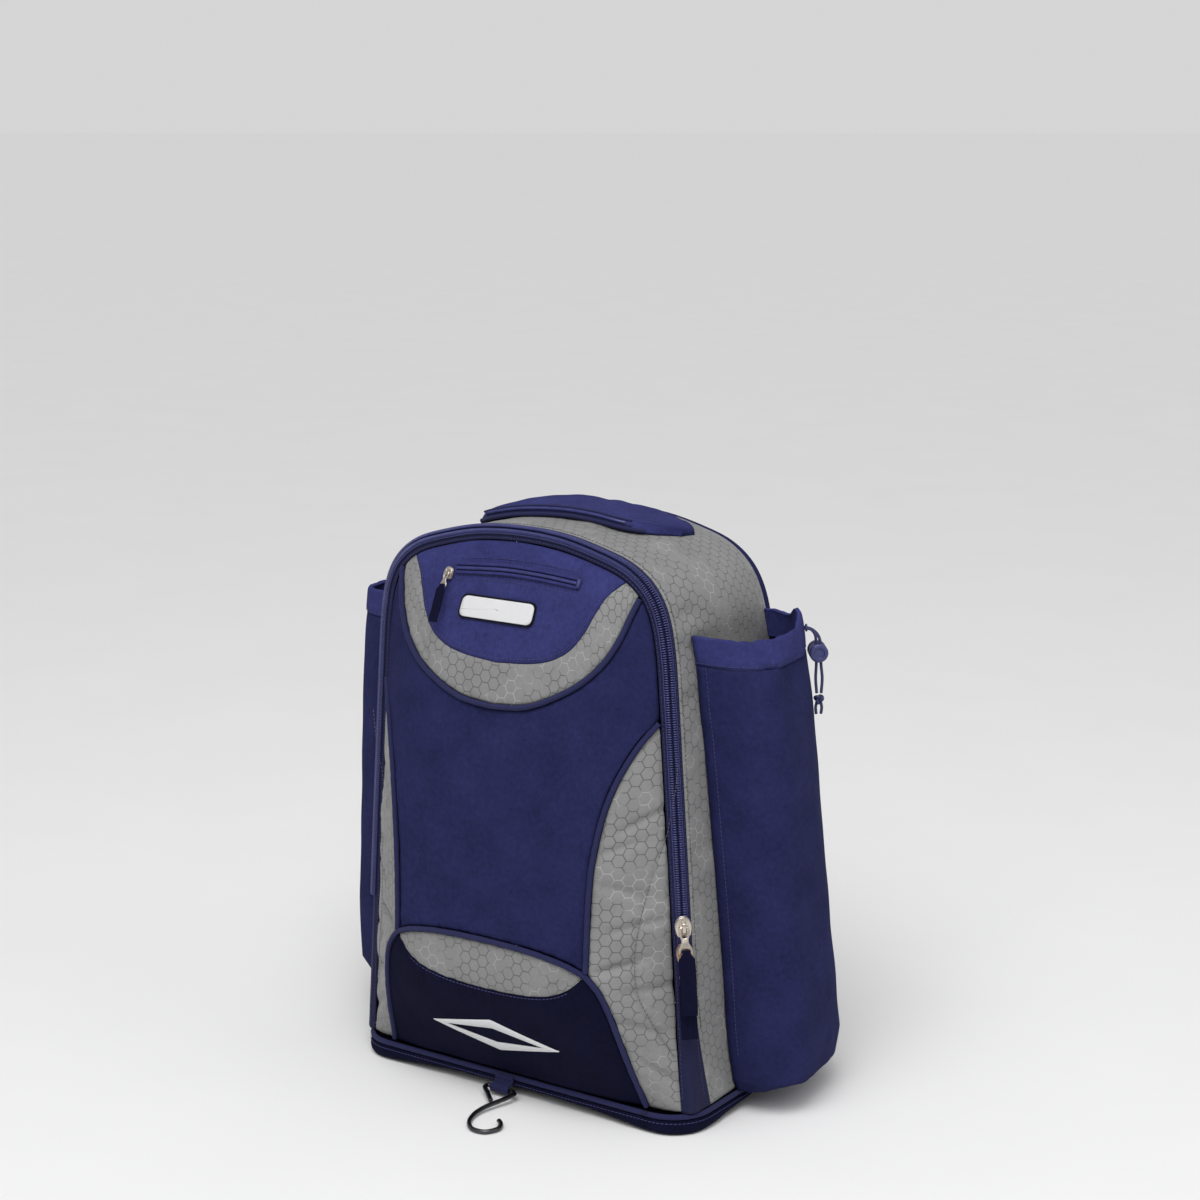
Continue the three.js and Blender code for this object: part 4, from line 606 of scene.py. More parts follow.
def honeycomb_cloth(name, colour, line_dark=0.3, painted_glint=2.1):
    """Grey ripstop with a fine honeycomb: thin dark lines, painted lighter in noise patches as a painted glint."""
    paint = Paint(name, 0.62)
    place = paint.place("UV")
    flat = paint.vector("MULTIPLY", place, (1, 1, 0))
    cell = (2 * HEX_STEP, HEX_PERIOD, 1)
    half = (HEX_STEP, HEX_PERIOD / 2, 0)
    far = (60 * HEX_STEP * 2, 80 * HEX_PERIOD, 0)
    first = paint.vector("SUBTRACT", paint.vector("MODULO", paint.vector("ADD", flat, far), cell), half)
    moved = paint.vector("ADD", flat, (far[0] + half[0], far[1] + half[1], 0))
    second = paint.vector("SUBTRACT", paint.vector("MODULO", moved, cell), half)
    nearer = paint.math("LESS_THAN", paint.vector("LENGTH", second), paint.vector("LENGTH", first))
    pick = paint.add("ShaderNodeMix", data_type="VECTOR")
    paint.feed(pick.inputs[0], nearer)
    paint.feed(pick.inputs[4], first)
    paint.feed(pick.inputs[5], second)
    inside = paint.vector("ABSOLUTE", pick.outputs[1])
    slant = paint.vector("DOT_PRODUCT", inside, (math.cos(math.pi / 6), 0.5, 0))
    flat_side = paint.add("ShaderNodeSeparateXYZ", inside).outputs[1]
    reach = paint.math("MAXIMUM", slant, flat_side)
    line = paint.span(reach, HEX_PERIOD / 2 - 0.55, HEX_PERIOD / 2 - 0.12)
    level = paint.math("MULTIPLY", paint.span(paint.math("SUBTRACT", flat_side, slant), 0, 0.3), line)
    # patch picks where the lines take the painted glint colour in place of the dark one
    patch = paint.span(paint.noise(place, 42, 2), 0.52, 0.6)
    yarn = paint.weave(place, 0.7)
    slub = paint.noise(paint.vector("MULTIPLY", place, (0.3, 1.0, 1.0)), 0.9, 2, 0.6)
    broad = paint.noise(place, 30, 3, 0.6)
    uneven = paint.math("ADD", paint.math("MULTIPLY", slub, 0.6), paint.math("MULTIPLY", broad, 0.7))
    tone = paint.span(uneven, 0.4, 0.95)
    ground = paint.blend(tone, shade(colour, 0.86), shade(colour, 1.14))
    # The line colour: dark lines, turned to a painted glint where patch is high
    seam = paint.blend(paint.math("MULTIPLY", patch, 0.8), shade(colour, line_dark), shade(colour, painted_glint))
    paint.feed(paint.shader.inputs["Base Color"], paint.blend(paint.math("MULTIPLY", line, 0.8), ground, seam))
    paint.feed(paint.shader.inputs["Roughness"], paint.span(level, 0, 1, 0.64, 0.42))
    paint.set("Sheen Weight", 0.1)
    paint.set("Specular IOR Level", 0.35)
    height = paint.math("MULTIPLY_ADD", yarn, 0.25,
                        paint.math("MULTIPLY_ADD", line, -0.8, paint.math("MULTIPLY", slub, 0.4)))
    paint.bump(height, 0.22)
    return paint.material


def ribbed_tape(name, colour, pitch):
    """Tape or webbing with ribs across its length, one to each pitch."""
    paint = Paint(name, 0.7)
    place = paint.place("UV")
    parts = paint.add("ShaderNodeSeparateXYZ", place)
    rib = paint.math("SINE", paint.math("MULTIPLY", parts.outputs[1], 2 * math.pi / pitch))
    slub = paint.noise(place, 1.1, 3, 0.6)
    tone = paint.span(paint.math("MULTIPLY_ADD", rib, 0.18, slub), 0.25, 0.75)
    paint.feed(paint.shader.inputs["Base Color"], paint.blend(tone, shade(colour, 0.65), shade(colour, 1.3)))
    paint.feed(paint.shader.inputs["Roughness"], paint.span(slub, 0.3, 0.7, 0.62, 0.8))
    paint.set("Sheen Weight", 0.03)
    paint.set("Specular IOR Level", 0.14)
    paint.bump(paint.math("MULTIPLY_ADD", slub, 0.5, rib), 0.14)
    return paint.material


def braided_cord(name, colour):
    paint = Paint(name, 0.6)
    parts = paint.add("ShaderNodeSeparateXYZ", paint.place("UV"))
    turn = 2 * math.pi / 1.6
    left = paint.math("SINE", paint.math("MULTIPLY", paint.math("ADD", parts.outputs[0], parts.outputs[1]), turn))
    right = paint.math("SINE", paint.math("MULTIPLY", paint.math("SUBTRACT", parts.outputs[0], parts.outputs[1]), turn))
    braid = paint.math("MULTIPLY_ADD", paint.math("MAXIMUM", left, right), 0.5, 0.5)
    paint.feed(paint.shader.inputs["Base Color"], paint.blend(braid, shade(colour, 0.5), shade(colour, 1.3)))
    paint.feed(paint.shader.inputs["Roughness"], paint.span(braid, 0, 1, 0.75, 0.5))
    paint.bump(braid, 0.2)
    return paint.material


def metal(name, colour, roughness):
    """Cast metal: fine grain, light scratches and a worn, uneven gloss."""
    paint = Paint(name, roughness, 1.0)
    place = paint.place("Object")
    grain = paint.noise(place, 0.8, 3, 0.6)
    scratch = paint.noise(paint.vector("MULTIPLY", place, (4, 0.3, 0.8)), 0.7, 2, 0.5)
    wear = paint.noise(place, 5, 3, 0.6)
    paint.feed(paint.shader.inputs["Base Color"], paint.blend(paint.span(wear, 0.3, 0.7), shade(colour, 0.78), colour))
    paint.feed(paint.shader.inputs["Roughness"],
               paint.span(paint.math("ADD", grain, scratch), 0.6, 1.4, roughness - 0.08, roughness + 0.14))
    paint.bump(paint.math("ADD", grain, scratch), 0.03)
    return paint.material


def moulded(name, colour, roughness=0.42):
    paint = Paint(name, roughness)
    place = paint.place("Object")
    grain = paint.noise(place, 0.35, 2, 0.5)
    broad = paint.noise(place, 7, 2, 0.5)
    paint.feed(paint.shader.inputs["Base Color"],
               paint.blend(paint.span(broad, 0.3, 0.7), shade(colour, 0.85), shade(colour, 1.15)))
    paint.feed(paint.shader.inputs["Roughness"], paint.span(grain, 0.3, 0.7, roughness - 0.05, roughness + 0.1))
    paint.bump(grain, 0.03)
    return paint.material


def plain_floor(name, colour):
    paint = Paint(name, 0.9)
    place = paint.place("Object")
    tone = paint.span(paint.noise(place, 160, 2, 0.5), 0.3, 0.7)
    paint.feed(paint.shader.inputs["Base Color"], paint.blend(tone, shade(colour, 0.985), shade(colour, 1.0)))
    return paint.material


FINISHES = {}


def finish_of(name):
    """The named finish, made the first time that a piece asks for it."""
    if name not in FINISHES:
        sizes = bpy.context.scene.backpack_cloth
        navy, grey = tuple(sizes.navy) + (1,), tuple(sizes.grey) + (1,)
        pitch = sizes.yarn_pitch / MM
        makers = {
            "navy": lambda: woven_cloth("navy_polyester", navy, pitch),
            # A shaded copy of the navy cloth at about a quarter of its brightness: painted shade, used on the lower
            # pocket, the base and the pull tabs
            "navy_painted_shade": lambda: woven_cloth("navy_polyester_painted_shade", shade(navy, 0.27), pitch),
            "pale_navy": lambda: woven_cloth("pale_navy_polyester", shade(navy, 1.75), pitch),
            "padding": lambda: woven_cloth("padding_cover", shade(navy, 0.8), 1.6, "Object", 0.9, 0.3, 0.3),
            "piping": lambda: ribbed_tape("piping_cover", shade(navy, 0.95), 0.9),
            "tape": lambda: ribbed_tape("zip_tape", shade(navy, 0.6), 1.1),
            "webbing": lambda: ribbed_tape("webbing", shade(navy, 0.8), 1.9),
            "grey": lambda: honeycomb_cloth("grey_honeycomb_ripstop", grey),
            "thread": lambda: moulded("navy_thread", shade(navy, 1.5), 0.7),
            "grey_thread": lambda: moulded("grey_thread", shade(grey, 0.45), 0.6),
            "coil": lambda: moulded("zip_coil_nylon", shade(navy, 1.9), 0.28),
            "cord": lambda: braided_cord("drawcord_braid", shade(navy, 1.1)),
            "plastic": lambda: moulded("moulded_plastic", shade(navy, 1.6), 0.4),
            "dark_plastic": lambda: moulded("dark_moulded_plastic", shade(navy, 0.35), 0.45),
            "nickel": lambda: metal("satin_nickel", linear(214, 204, 192), 0.27),
            "brass": lambda: metal("aged_nickel", linear(190, 160, 138), 0.34),
            "gunmetal": lambda: metal("gunmetal", linear(86, 86, 90), 0.3),
            "white": lambda: woven_cloth("white_embroidery", linear(222, 222, 224), 1.1, "UV", 0.6, 0.07, 0.3),
            "black": lambda: woven_cloth("dark_embroidery", linear(26, 26, 34), 1.1, "UV", 0.65, 0.25, 0.3),
        }
        FINISHES[name] = makers[name]()
    return FINISHES[name]


# ---- the door's panels

def line_of(points):
    return catmull(points, 20)


def edge_at(height):
    x, z = arch_point(arch_at_height(height, DOOR_EDGE), DOOR_EDGE)
    return (float(x), float(z))


def door_edge(low, high, samples=60):
    p = np.linspace(arch_at_height(low, DOOR_EDGE), arch_at_height(high, DOOR_EDGE), samples + 1)
    return np.stack(arch_point(p, DOOR_EDGE), axis=-1)


BAND_HALF = line_of(BAND_LOWER_SEAM + [edge_at(BAND_LOWER_END)])
YOKE_HALF = line_of(YOKE_SEAM + [edge_at(YOKE_SEAM_END)])
SIDE_LINE = line_of(SIDE_SEAM + [edge_at(SIDE_SEAM_END)])
POCKET_SIDE = line_of(POCKET_SIDE_SEAM)
POCKET_TOP_HALF = line_of(POCKET_TOP_SEAM)
LENS_HALF = line_of(LENS_SEAM)


def both_halves(half):
    """A seam right across the door, from left to right. Half runs outward from the middle."""
    return np.vstack([mirrored(half), half[1:]])


def leftward(line):
    """The same line on the door's left half, read in the same direction."""
    return line * np.array([-1, 1])


BAND_LINE = both_halves(BAND_HALF)
POCKET_TOP_LINE = both_halves(POCKET_TOP_HALF[::-1])
LENS_LINE = both_halves(LENS_HALF[::-1])


def moved_line(line, short, sign):
    run = unit(np.gradient(line, axis=0))
    short = np.array([short(point) for point in line]) if callable(short) else np.full(len(line), float(short))
    return line + np.stack([-run[:, 1], run[:, 0]], axis=-1) * (sign * short)[:, None]


def long_ends(line, reach=8.0):
    def stretch(end, following):
        away = end - following
        return end + away / np.linalg.norm(away) * reach
    return np.vstack([stretch(line[0], line[1]), line, stretch(line[-1], line[-2])])


def without_loops(line, axis):
    """Drops the places where a moved line turns back on itself."""
    ahead = np.maximum.accumulate(line[:, axis])
    keep = np.concatenate([[True], line[1:, axis] > ahead[:-1] + 1e-6])
    return line[keep]


def trim_starts(first, second):
    """Both lines from the place where they cross."""
    a, run = first[:-1, None], np.diff(first, axis=0)[:, None]
    c, other = second[None, :-1], np.diff(second, axis=0)[None]
    scale = run[..., 0] * other[..., 1] - run[..., 1] * other[..., 0]
    gap = c - a
    safe = np.where(np.abs(scale) < 1e-9, 1, scale)
    t = (gap[..., 0] * other[..., 1] - gap[..., 1] * other[..., 0]) / safe
    u = (gap[..., 0] * run[..., 1] - gap[..., 1] * run[..., 0]) / safe
    hits = np.argwhere((np.abs(scale) > 1e-9) & (t >= 0) & (t <= 1) & (u >= 0) & (u <= 1))
    if not len(hits):
        raise RuntimeError("two sides of a panel never meet")
    i, j = hits[0]
    point = first[i] + (first[i + 1] - first[i]) * t[i, j]
    return np.vstack([point, first[i + 1:]]), np.vstack([point, second[j + 1:]])


def panel_grid(low, right, high, left, columns, rows):
    """Flat places between four sides, each a pair of a line and how far the cloth stops short of it."""
    low = long_ends(without_loops(moved_line(*low, 1), 0))
    right = long_ends(without_loops(moved_line(*right, 1), 1))
    high = long_ends(without_loops(moved_line(*high, -1), 0))
    left = long_ends(without_loops(moved_line(*left, -1), 1))
    low, left = trim_starts(low, left)
    low, right = trim_starts(low[::-1], right)
    low = low[::-1]
    high, left = trim_starts(high, left[::-1])
    left = left[::-1]
    high, right = trim_starts(high[::-1], right[::-1])
    right, high = right[::-1], high[::-1]
    u, v = np.linspace(0, 1, columns + 1), np.linspace(0, 1, rows + 1)
    bottom, top, lefts, rights = spaced(low, u), spaced(high, u), spaced(left, v), spaced(right, v)
    U, V = u[None, :, None], v[:, None, None]
    grid = (bottom[None] * (1 - V) + top[None] * V + lefts[:, None] * (1 - U) + rights[:, None] * U
            - low[0] * (1 - U) * (1 - V) - low[-1] * U * (1 - V) - high[0] * (1 - U) * V - high[-1] * U * V)
    # The corners of the sides would show as lines across the cloth, so the places between are evened out
    for _ in range(150):
        grid[1:-1, 1:-1] = (grid[:-2, 1:-1] + grid[2:, 1:-1] + grid[1:-1, :-2] + grid[1:-1, 2:]) / 4
    return grid


_profile_z = np.linspace(WALL_FOOT, 455, 400)
_profile_run = lengths(np.stack([hermite(DOOR_BULGE, 1, _profile_z), _profile_z], axis=-1))


def door_uv(flat, points):
    """The cloth's own map: real lengths across from each row's middle, and up along the door."""
    middle = flat.shape[1] // 2
    run = runs(points, 1)
    u = run - run[:, middle][:, None] + flat[:, middle, 0][:, None] * 1.04
    return np.stack([u, np.interp(flat[..., 1], _profile_z, _profile_run)], axis=-1)


def near_line(flat, line):
    """Distance of each flat place to a seam, and how far along the seam that is."""
    places = flat.reshape(-1, 2)
    line = np.asarray(line)
    apart = np.linalg.norm(places[:, None] - line[None], axis=-1)
    nearest = apart.argmin(axis=1)
    shape = flat.shape[:2]
    return apart.min(axis=1).reshape(shape), lengths(line)[nearest].reshape(shape)


def seam_puckers(flat, line, seed, depth=0.35, reach=9.0, pitch=10.0):
    """Small ripples square to a seam, which fade away from it."""
    apart, along = near_line(flat, line)
    return depth * waves(along, seed, pitch) * bump(apart - 3, reach)


def soft_swell(flat, seed, depth, pitch):
    """Broad shallow unevenness, as in cloth that hangs on little stuffing."""
    return depth * (waves(flat[..., 0] + 0.4 * flat[..., 1], seed, pitch)
                    + waves(flat[..., 1] - 0.3 * flat[..., 0], seed + 1, pitch * 1.3)) / 2


def crease(flat, start, end, depth, width):
    """A single fold between two flat places, deepest in its middle."""
    start, end = np.array(start, float), np.array(end, float)
    run = end - start
    share = np.clip(((flat - start) @ run) / (run @ run), 0, 1)
    apart = np.linalg.norm(flat - (start + share[..., None] * run), axis=-1)
    return -depth * bump(apart, width) * np.sin(np.pi * np.clip(share, 0.02, 0.98)) ** 0.6


def door_panel(name, sides, columns, rows, finish, relief=None, roll=1.1):
    flat = panel_grid(*sides, columns, rows)
    points = door_point(flat[..., 0], flat[..., 1])
    lift = relief(flat) if relief else None
    thickness = bpy.context.scene.backpack_cloth.thickness / MM
    piece = sheet_of(f"{name}_cloth", points, thickness, uv=door_uv(flat, points), relief=lift, edge_roll=roll)
    return finish_piece(piece, finish_of(finish), "bag", [name])


def piped(height):
    return lambda point: PIPED_SEAM + (SEAM - PIPED_SEAM) * float(ramp(point[1], height - 9, height + 9))


def make_centre_panel():
    right = np.vstack([SIDE_LINE, door_edge(SIDE_SEAM_END, BAND_LOWER_END)[1:]])

    def relief(flat):
        x, z = flat[..., 0], flat[..., 1]
        folds = seam_puckers(flat, BAND_LINE, 3, 0.3) + seam_puckers(flat, POCKET_TOP_LINE, 5, 0.45)
        folds += seam_puckers(flat, SIDE_LINE, 7, 0.3, 8, 16) + seam_puckers(flat, leftward(SIDE_LINE), 9, 0.3, 8, 16)
        folds += soft_swell(flat, 11, 0.7, 95) + crease(flat, (40, 322), (112, 330), 1.1, 9)
        folds += crease(flat, (92, 352), (118, 372), 0.9, 6) + crease(flat, (-60, 150), (30, 157), 0.7, 9)
        return folds - 1.0 * bump(z - 318, 9) * ramp(110 - np.abs(x), 0, 60)

    door_panel("centre_panel", [(POCKET_TOP_LINE, PIPED_SEAM), (right, piped(SIDE_SEAM_END - 2)),
                                (BAND_LINE, PIPED_SEAM), (leftward(right), piped(SIDE_SEAM_END - 2))],
               110, 110, "navy", relief)


def make_hex_band():
    yoke = both_halves(YOKE_HALF)
    end = door_edge(BAND_LOWER_END, YOKE_SEAM_END, 12)

    def relief(flat):
        folds = seam_puckers(flat, BAND_LINE, 21, 0.3, 7, 12) + seam_puckers(flat, yoke, 23, 0.25, 6, 9)
        folds += crease(flat, (-88, 380), (-66, 352), 1.2, 3.5) + crease(flat, (-97, 396), (-80, 384), 0.8, 3)
        return folds + crease(flat, (-20, 331), (-34, 345), 0.7, 3) + soft_swell(flat, 25, 0.4, 60)

    door_panel("hex_band", [(BAND_LINE, PIPED_SEAM), (end, SEAM), (yoke, SEAM), (leftward(end), SEAM)],
               170, 26, "grey", relief, 0.7)


def make_yoke_panel():
    corner = int(np.argmax(YOKE_HALF[:, 0] > YOKE_CORNER_X))
    low, right = YOKE_HALF[:corner + 1], YOKE_HALF[corner:]
    crown = door_edge(YOKE_SEAM_END, ZIP_CROWN + DOOR_EDGE)

    def relief(flat):
        folds = seam_puckers(flat, both_halves(YOKE_HALF), 31, 0.25, 6, 11) + soft_swell(flat, 33, 0.5, 70)
        folds += crease(flat, (-70, 437), (-20, 447), 0.9, 4) + crease(flat, (-86, 418), (-60, 436), 0.8, 4)
        folds += crease(flat, (66, 424), (86, 436), 0.7, 3.5) + crease(flat, (-56, 408), (-50, 380), 0.5, 5)
        slit = bump(flat[..., 1] - yoke_zip_height(flat[..., 0]), 7) * ramp(74 - np.abs(flat[..., 0] - 6), 0, 14)
        return folds - 0.5 * slit

    door_panel("yoke_panel", [(both_halves(low), 2.5 * SEAM), (right, 2.5 * SEAM),
                              (both_halves(crown[::-1]), SEAM), (leftward(right), 2.5 * SEAM)],
               110, 50, "pale_navy", relief, 0.6)


def yoke_zip_height(x):
    return np.interp(x, [-50, -28, -5, 14, 33, 50, 66], [427.5, 429.2, 430.5, 430.6, 430, 429, 427.5])


def make_side_panels():
    top = int(np.argmax(SIDE_LINE[:, 1] > SIDE_PANEL_TOP))
    inner = np.vstack([POCKET_SIDE, SIDE_LINE[1:top + 1]])
    outer = door_edge(WALL_FOOT, SIDE_PANEL_TOP)
    low = np.array([inner[0], outer[0]])
    high = np.array([inner[-1], outer[-1]])
    dart = catmull(DART_SEAM, 30)

    def relief(flat):
        folds = seam_puckers(flat, inner, 41, 0.3, 8, 13) + soft_swell(flat, 43, 1.3, 46)
        folds += crease(flat, (97, 128), (135, 141), 4.2, 3.4) + crease(flat, (110, 92), (150, 77), 3.2, 4.5)
        folds += crease(flat, (104, 160), (146, 173), 2.7, 4) + crease(flat, (102, 200), (140, 188), 2.2, 4)
        folds += crease(flat, (112, 240), (146, 262), 2.6, 3.5) + crease(flat, (124, 60), (158, 34), 2.8, 4)
        folds += crease(flat, (100, 222), (130, 236), 1.9, 3) + crease(flat, (118, 112), (156, 120), 2.7, 4)
        apart, along = near_line(flat, dart)
        return folds - 1.1 * bump(apart, 1.5) + 0.4 * waves(along, 45, 9) * bump(apart - 2, 5)

    door_panel("side_panel_right", [(low, 0), (outer, SEAM), (high, 0), (inner, PIPED_SEAM)],
               40, 200, "grey", relief, 0.9)

    def left_relief(flat):
        return relief(flat * [-1, 1])

    door_panel("side_panel_left", [(mirrored(low), 0), (leftward(inner), PIPED_SEAM), (mirrored(high), 0),
                                   (leftward(outer), SEAM)], 40, 200, "grey", left_relief, 0.9)
    for side, label in ((1, "right"), (-1, "left")):
        x, z = dart[:, 0] * side, dart[:, 1]
        stitches(f"dart_stitches_{label}", door_point(x, z, -0.4), door_normal(x, z), finish_of("grey_thread"),
                 length=2.4, pitch=3.4, width=0.6)


def make_lower_pocket():
    foot = POCKET_SIDE[0]
    low = np.array([foot * [-1, 1], foot])

    def relief(flat):
        folds = seam_puckers(flat, LENS_LINE, 51, 0.4, 8, 12) + soft_swell(flat, 53, 0.7, 66)
        return folds + crease(flat, (-96, 60), (-104, 96), 1.0, 5) + crease(flat, (84, 44), (104, 78), 0.8, 6)

    # The lower pocket takes the shaded copy of navy: painted shade
    door_panel("lower_pocket", [(low, 0), (POCKET_SIDE, PIPED_SEAM), (LENS_LINE, SEAM),
                                (leftward(POCKET_SIDE), PIPED_SEAM)],
               110, 60, "navy_painted_shade", relief, 0.6)

    lens_low = LENS_LINE[np.abs(LENS_LINE[:, 0]) <= LENS_HALF_WIDTH]
    lens_high = POCKET_TOP_LINE[np.abs(POCKET_TOP_LINE[:, 0]) <= LENS_HALF_WIDTH]

    def lens_relief(flat):
        return seam_puckers(flat, LENS_LINE, 55, 0.45, 7, 14) + crease(flat, (60, 112), (84, 121), 0.9, 3)

    door_panel("pocket_lens", [(lens_low, SEAM), (np.array([lens_low[-1], lens_high[-1]]), 0),
                               (lens_high, PIPED_SEAM), (np.array([lens_low[0], lens_high[0]]), 0)],
               130, 24, "grey", lens_relief, 0.5)


# ---- pipings

def door_piping(name, line, start, finish_share, steps, seed):
    flat = spaced(line, np.linspace(start, finish_share, steps))
    wobble = 0.12 * waves(lengths(flat), seed, 14)
    path = door_point(flat[:, 0], flat[:, 1], 0.4 + wobble)
    piece = tube_of(f"{name}_cover", path, 2.25 + 0.08 * waves(lengths(flat), seed + 1, 9), 14)
    return finish_piece(piece, finish_of("piping"), "bag", [name])


def make_door_pipings():
    door_piping("band_piping", BAND_LINE, 0.002, 0.998, 260, 61)
    door_piping("panel_piping_right", SIDE_LINE, 0.012, 0.995, 170, 63)
    door_piping("panel_piping_left", leftward(SIDE_LINE), 0.012, 0.995, 170, 65)
    legs = np.vstack([leftward(POCKET_SIDE), POCKET_TOP_LINE[1:], POCKET_SIDE[::-1][1:]])
    door_piping("pocket_piping", legs, 0.001, 0.999, 400, 67)


def door_stitches(name, line, aside):
    """Stitches beside a seam of the door, aside from it by that much to its left."""
    flat = moved_line(np.asarray(line, float), aside, 1)
    x, z = flat[:, 0], flat[:, 1]
    return stitches(name, door_point(x, z, 0.05), door_normal(x, z), finish_of("thread"))


def make_door_stitches():
    door_stitches("band_stitches", spaced(both_halves(YOKE_HALF), np.linspace(0.03, 0.97, 240)), 3.2)
    door_stitches("pocket_stitches", spaced(LENS_LINE, np.linspace(0.1, 0.9, 240)), -2.0)


# ---- the gusset

def make_gusset():
    p, d = np.meshgrid(np.linspace(0, 1, 420), np.linspace(0, 1, 64))
    along = (p - 0.5) * ARCH_LENGTH
    crown = np.abs(p - 0.5) * 2
    relief = (0.5 * waves(along, 71, 46) * np.sin(np.pi * d)
              + 0.35 * waves(along + 60 * d, 72, 21) * bump(d - 0.08, 0.14))
    relief += 0.3 * waves(along - 40 * d, 73, 17) * bump(d - 0.96, 0.12)
    for place, door_way, lean, depth, wide, deep in ((0.285, 0.16, 26, 2.4, 7, 0.17), (0.33, 0.14, 30, 2.0, 6, 0.15),
                                                     (0.24, 0.5, -30, 1.5, 12, 0.22), (0.40, 0.1, 26, 1.5, 6, 0.1),
                                                     (0.12, 0.4, 26, 1.0, 16, 0.26), (0.19, 0.3, 34, 1.3, 9, 0.2),
                                                     (0.62, 0.1, 20, 1.0, 6, 0.1), (0.88, 0.12, 26, 1.4, 8, 0.12)):
        apart = (crown - place) * ARCH_LENGTH / 2 - lean * (d - door_way)
        relief -= depth * bump(apart, wide) * bump(d - door_way, deep)
    relief -= 0.9 * bump(along + 78, 1.6) * ramp(0.5 - d, 0, 0.1)
    relief *= ramp(d, 0, 0.04) * ramp(1 - d, 0, 0.04)
    points = gusset_point(p, d)
    uv = np.stack([runs(points, 0), along], axis=-1)
    piece = sheet_of("gusset_cloth", points, 2.0, uv=uv, relief=relief, edge_roll=0.5)
    turned_out(piece)
    finish_piece(piece, finish_of("grey"), "bag", ["gusset"])
    place = np.linspace(0.06, 0.94, 700)
    normal = np.stack([arch_normal(place)[0], 0 * place, arch_normal(place)[1]], axis=-1)
    stitches("gusset_stitches", gusset_point(place, 0.022, 0.05), normal, finish_of("grey_thread"))


def turned_out(piece):
    """Turns a closed piece's faces outward, where its volume reads as negative."""
    mesh = piece.data
    made = bmesh.new()
    made.from_mesh(mesh)
    if made.calc_volume(signed=True) < 0:
        bmesh.ops.reverse_faces(made, faces=made.faces)
        made.to_mesh(mesh)
    made.free()
    return piece


# ---- the main zip

COIL_PITCH = 1.9
TAPE_SECTION = [(-8.8, -108.4), (-3, -107.5), (1.2, -104)]
COIL_LIFT = 0.4
COIL_HALF_HEIGHT = 1.7
COIL_LEFT_END = 0.11
COIL_RIGHT_END_HEIGHT = 142


def tape_point(p, column):
    if column < len(TAPE_SECTION):
        outward, y = TAPE_SECTION[column]
        x, z = arch_point(p, outward)
        return np.stack([x, np.full_like(x, y), z], axis=-1)
    x, z = arch_point(p, GUSSET_EDGE - 0.1)
    return np.stack([x, gusset_front_y(z) - 0.6, z], axis=-1)


def zip_frame(p):
    """The zip's middle, and its directions across it, along it and off its face."""
    p = np.atleast_1d(np.asarray(p, float))
    inner, outer = tape_point(p, 1), tape_point(p, 2)
    across = unit(outer - inner)
    nx, nz = arch_normal(p)
    up = np.stack([nz, 0 * nx, -nx], axis=-1)
    out = np.cross(up, across)
    out *= -np.sign(out[..., 1:2])
    return (inner + outer) / 2, across, up, out


def make_zip_tape():
    p = np.linspace(0, 1, 460)
    corners = np.stack([tape_point(p, row) for row in range(4)])
    shares = np.linspace(0, 3, 25)
    low = np.minimum(2, shares.astype(int))
    part = (shares - low)[:, None, None]
    grid = corners[low] * (1 - part) + corners[low + 1] * part
    along = (p - 0.5) * ARCH_LENGTH
    relief = 0.16 * waves(along, 81, 12)[None] * (bump(shares - 0.25, 0.3) + bump(shares - 2.5, 0.4))[:, None]
    across = lengths(grid[:, 230])
    uv = np.stack(np.broadcast_arrays(across[:, None], along[None, :]), axis=-1)
    piece = turned_out(sheet_of("zip_tape_cloth", grid, 1.2, uv=uv, relief=relief))
    finish_piece(piece, finish_of("tape"), "bag", ["zipper_tape"])
    place = np.linspace(0.01, 0.99, 900)
    out = zip_frame(place)[3]
    stitches("zip_stitches_inner", tape_point(place, 0) * 0.72 + tape_point(place, 1) * 0.28 + out * 0.1, out,
             finish_of("thread"), width=0.6)
    stitches("zip_stitches_outer", tape_point(place, 2) * 0.3 + tape_point(place, 3) * 0.7 + out * 0.15, out,
             finish_of("thread"), width=0.6)


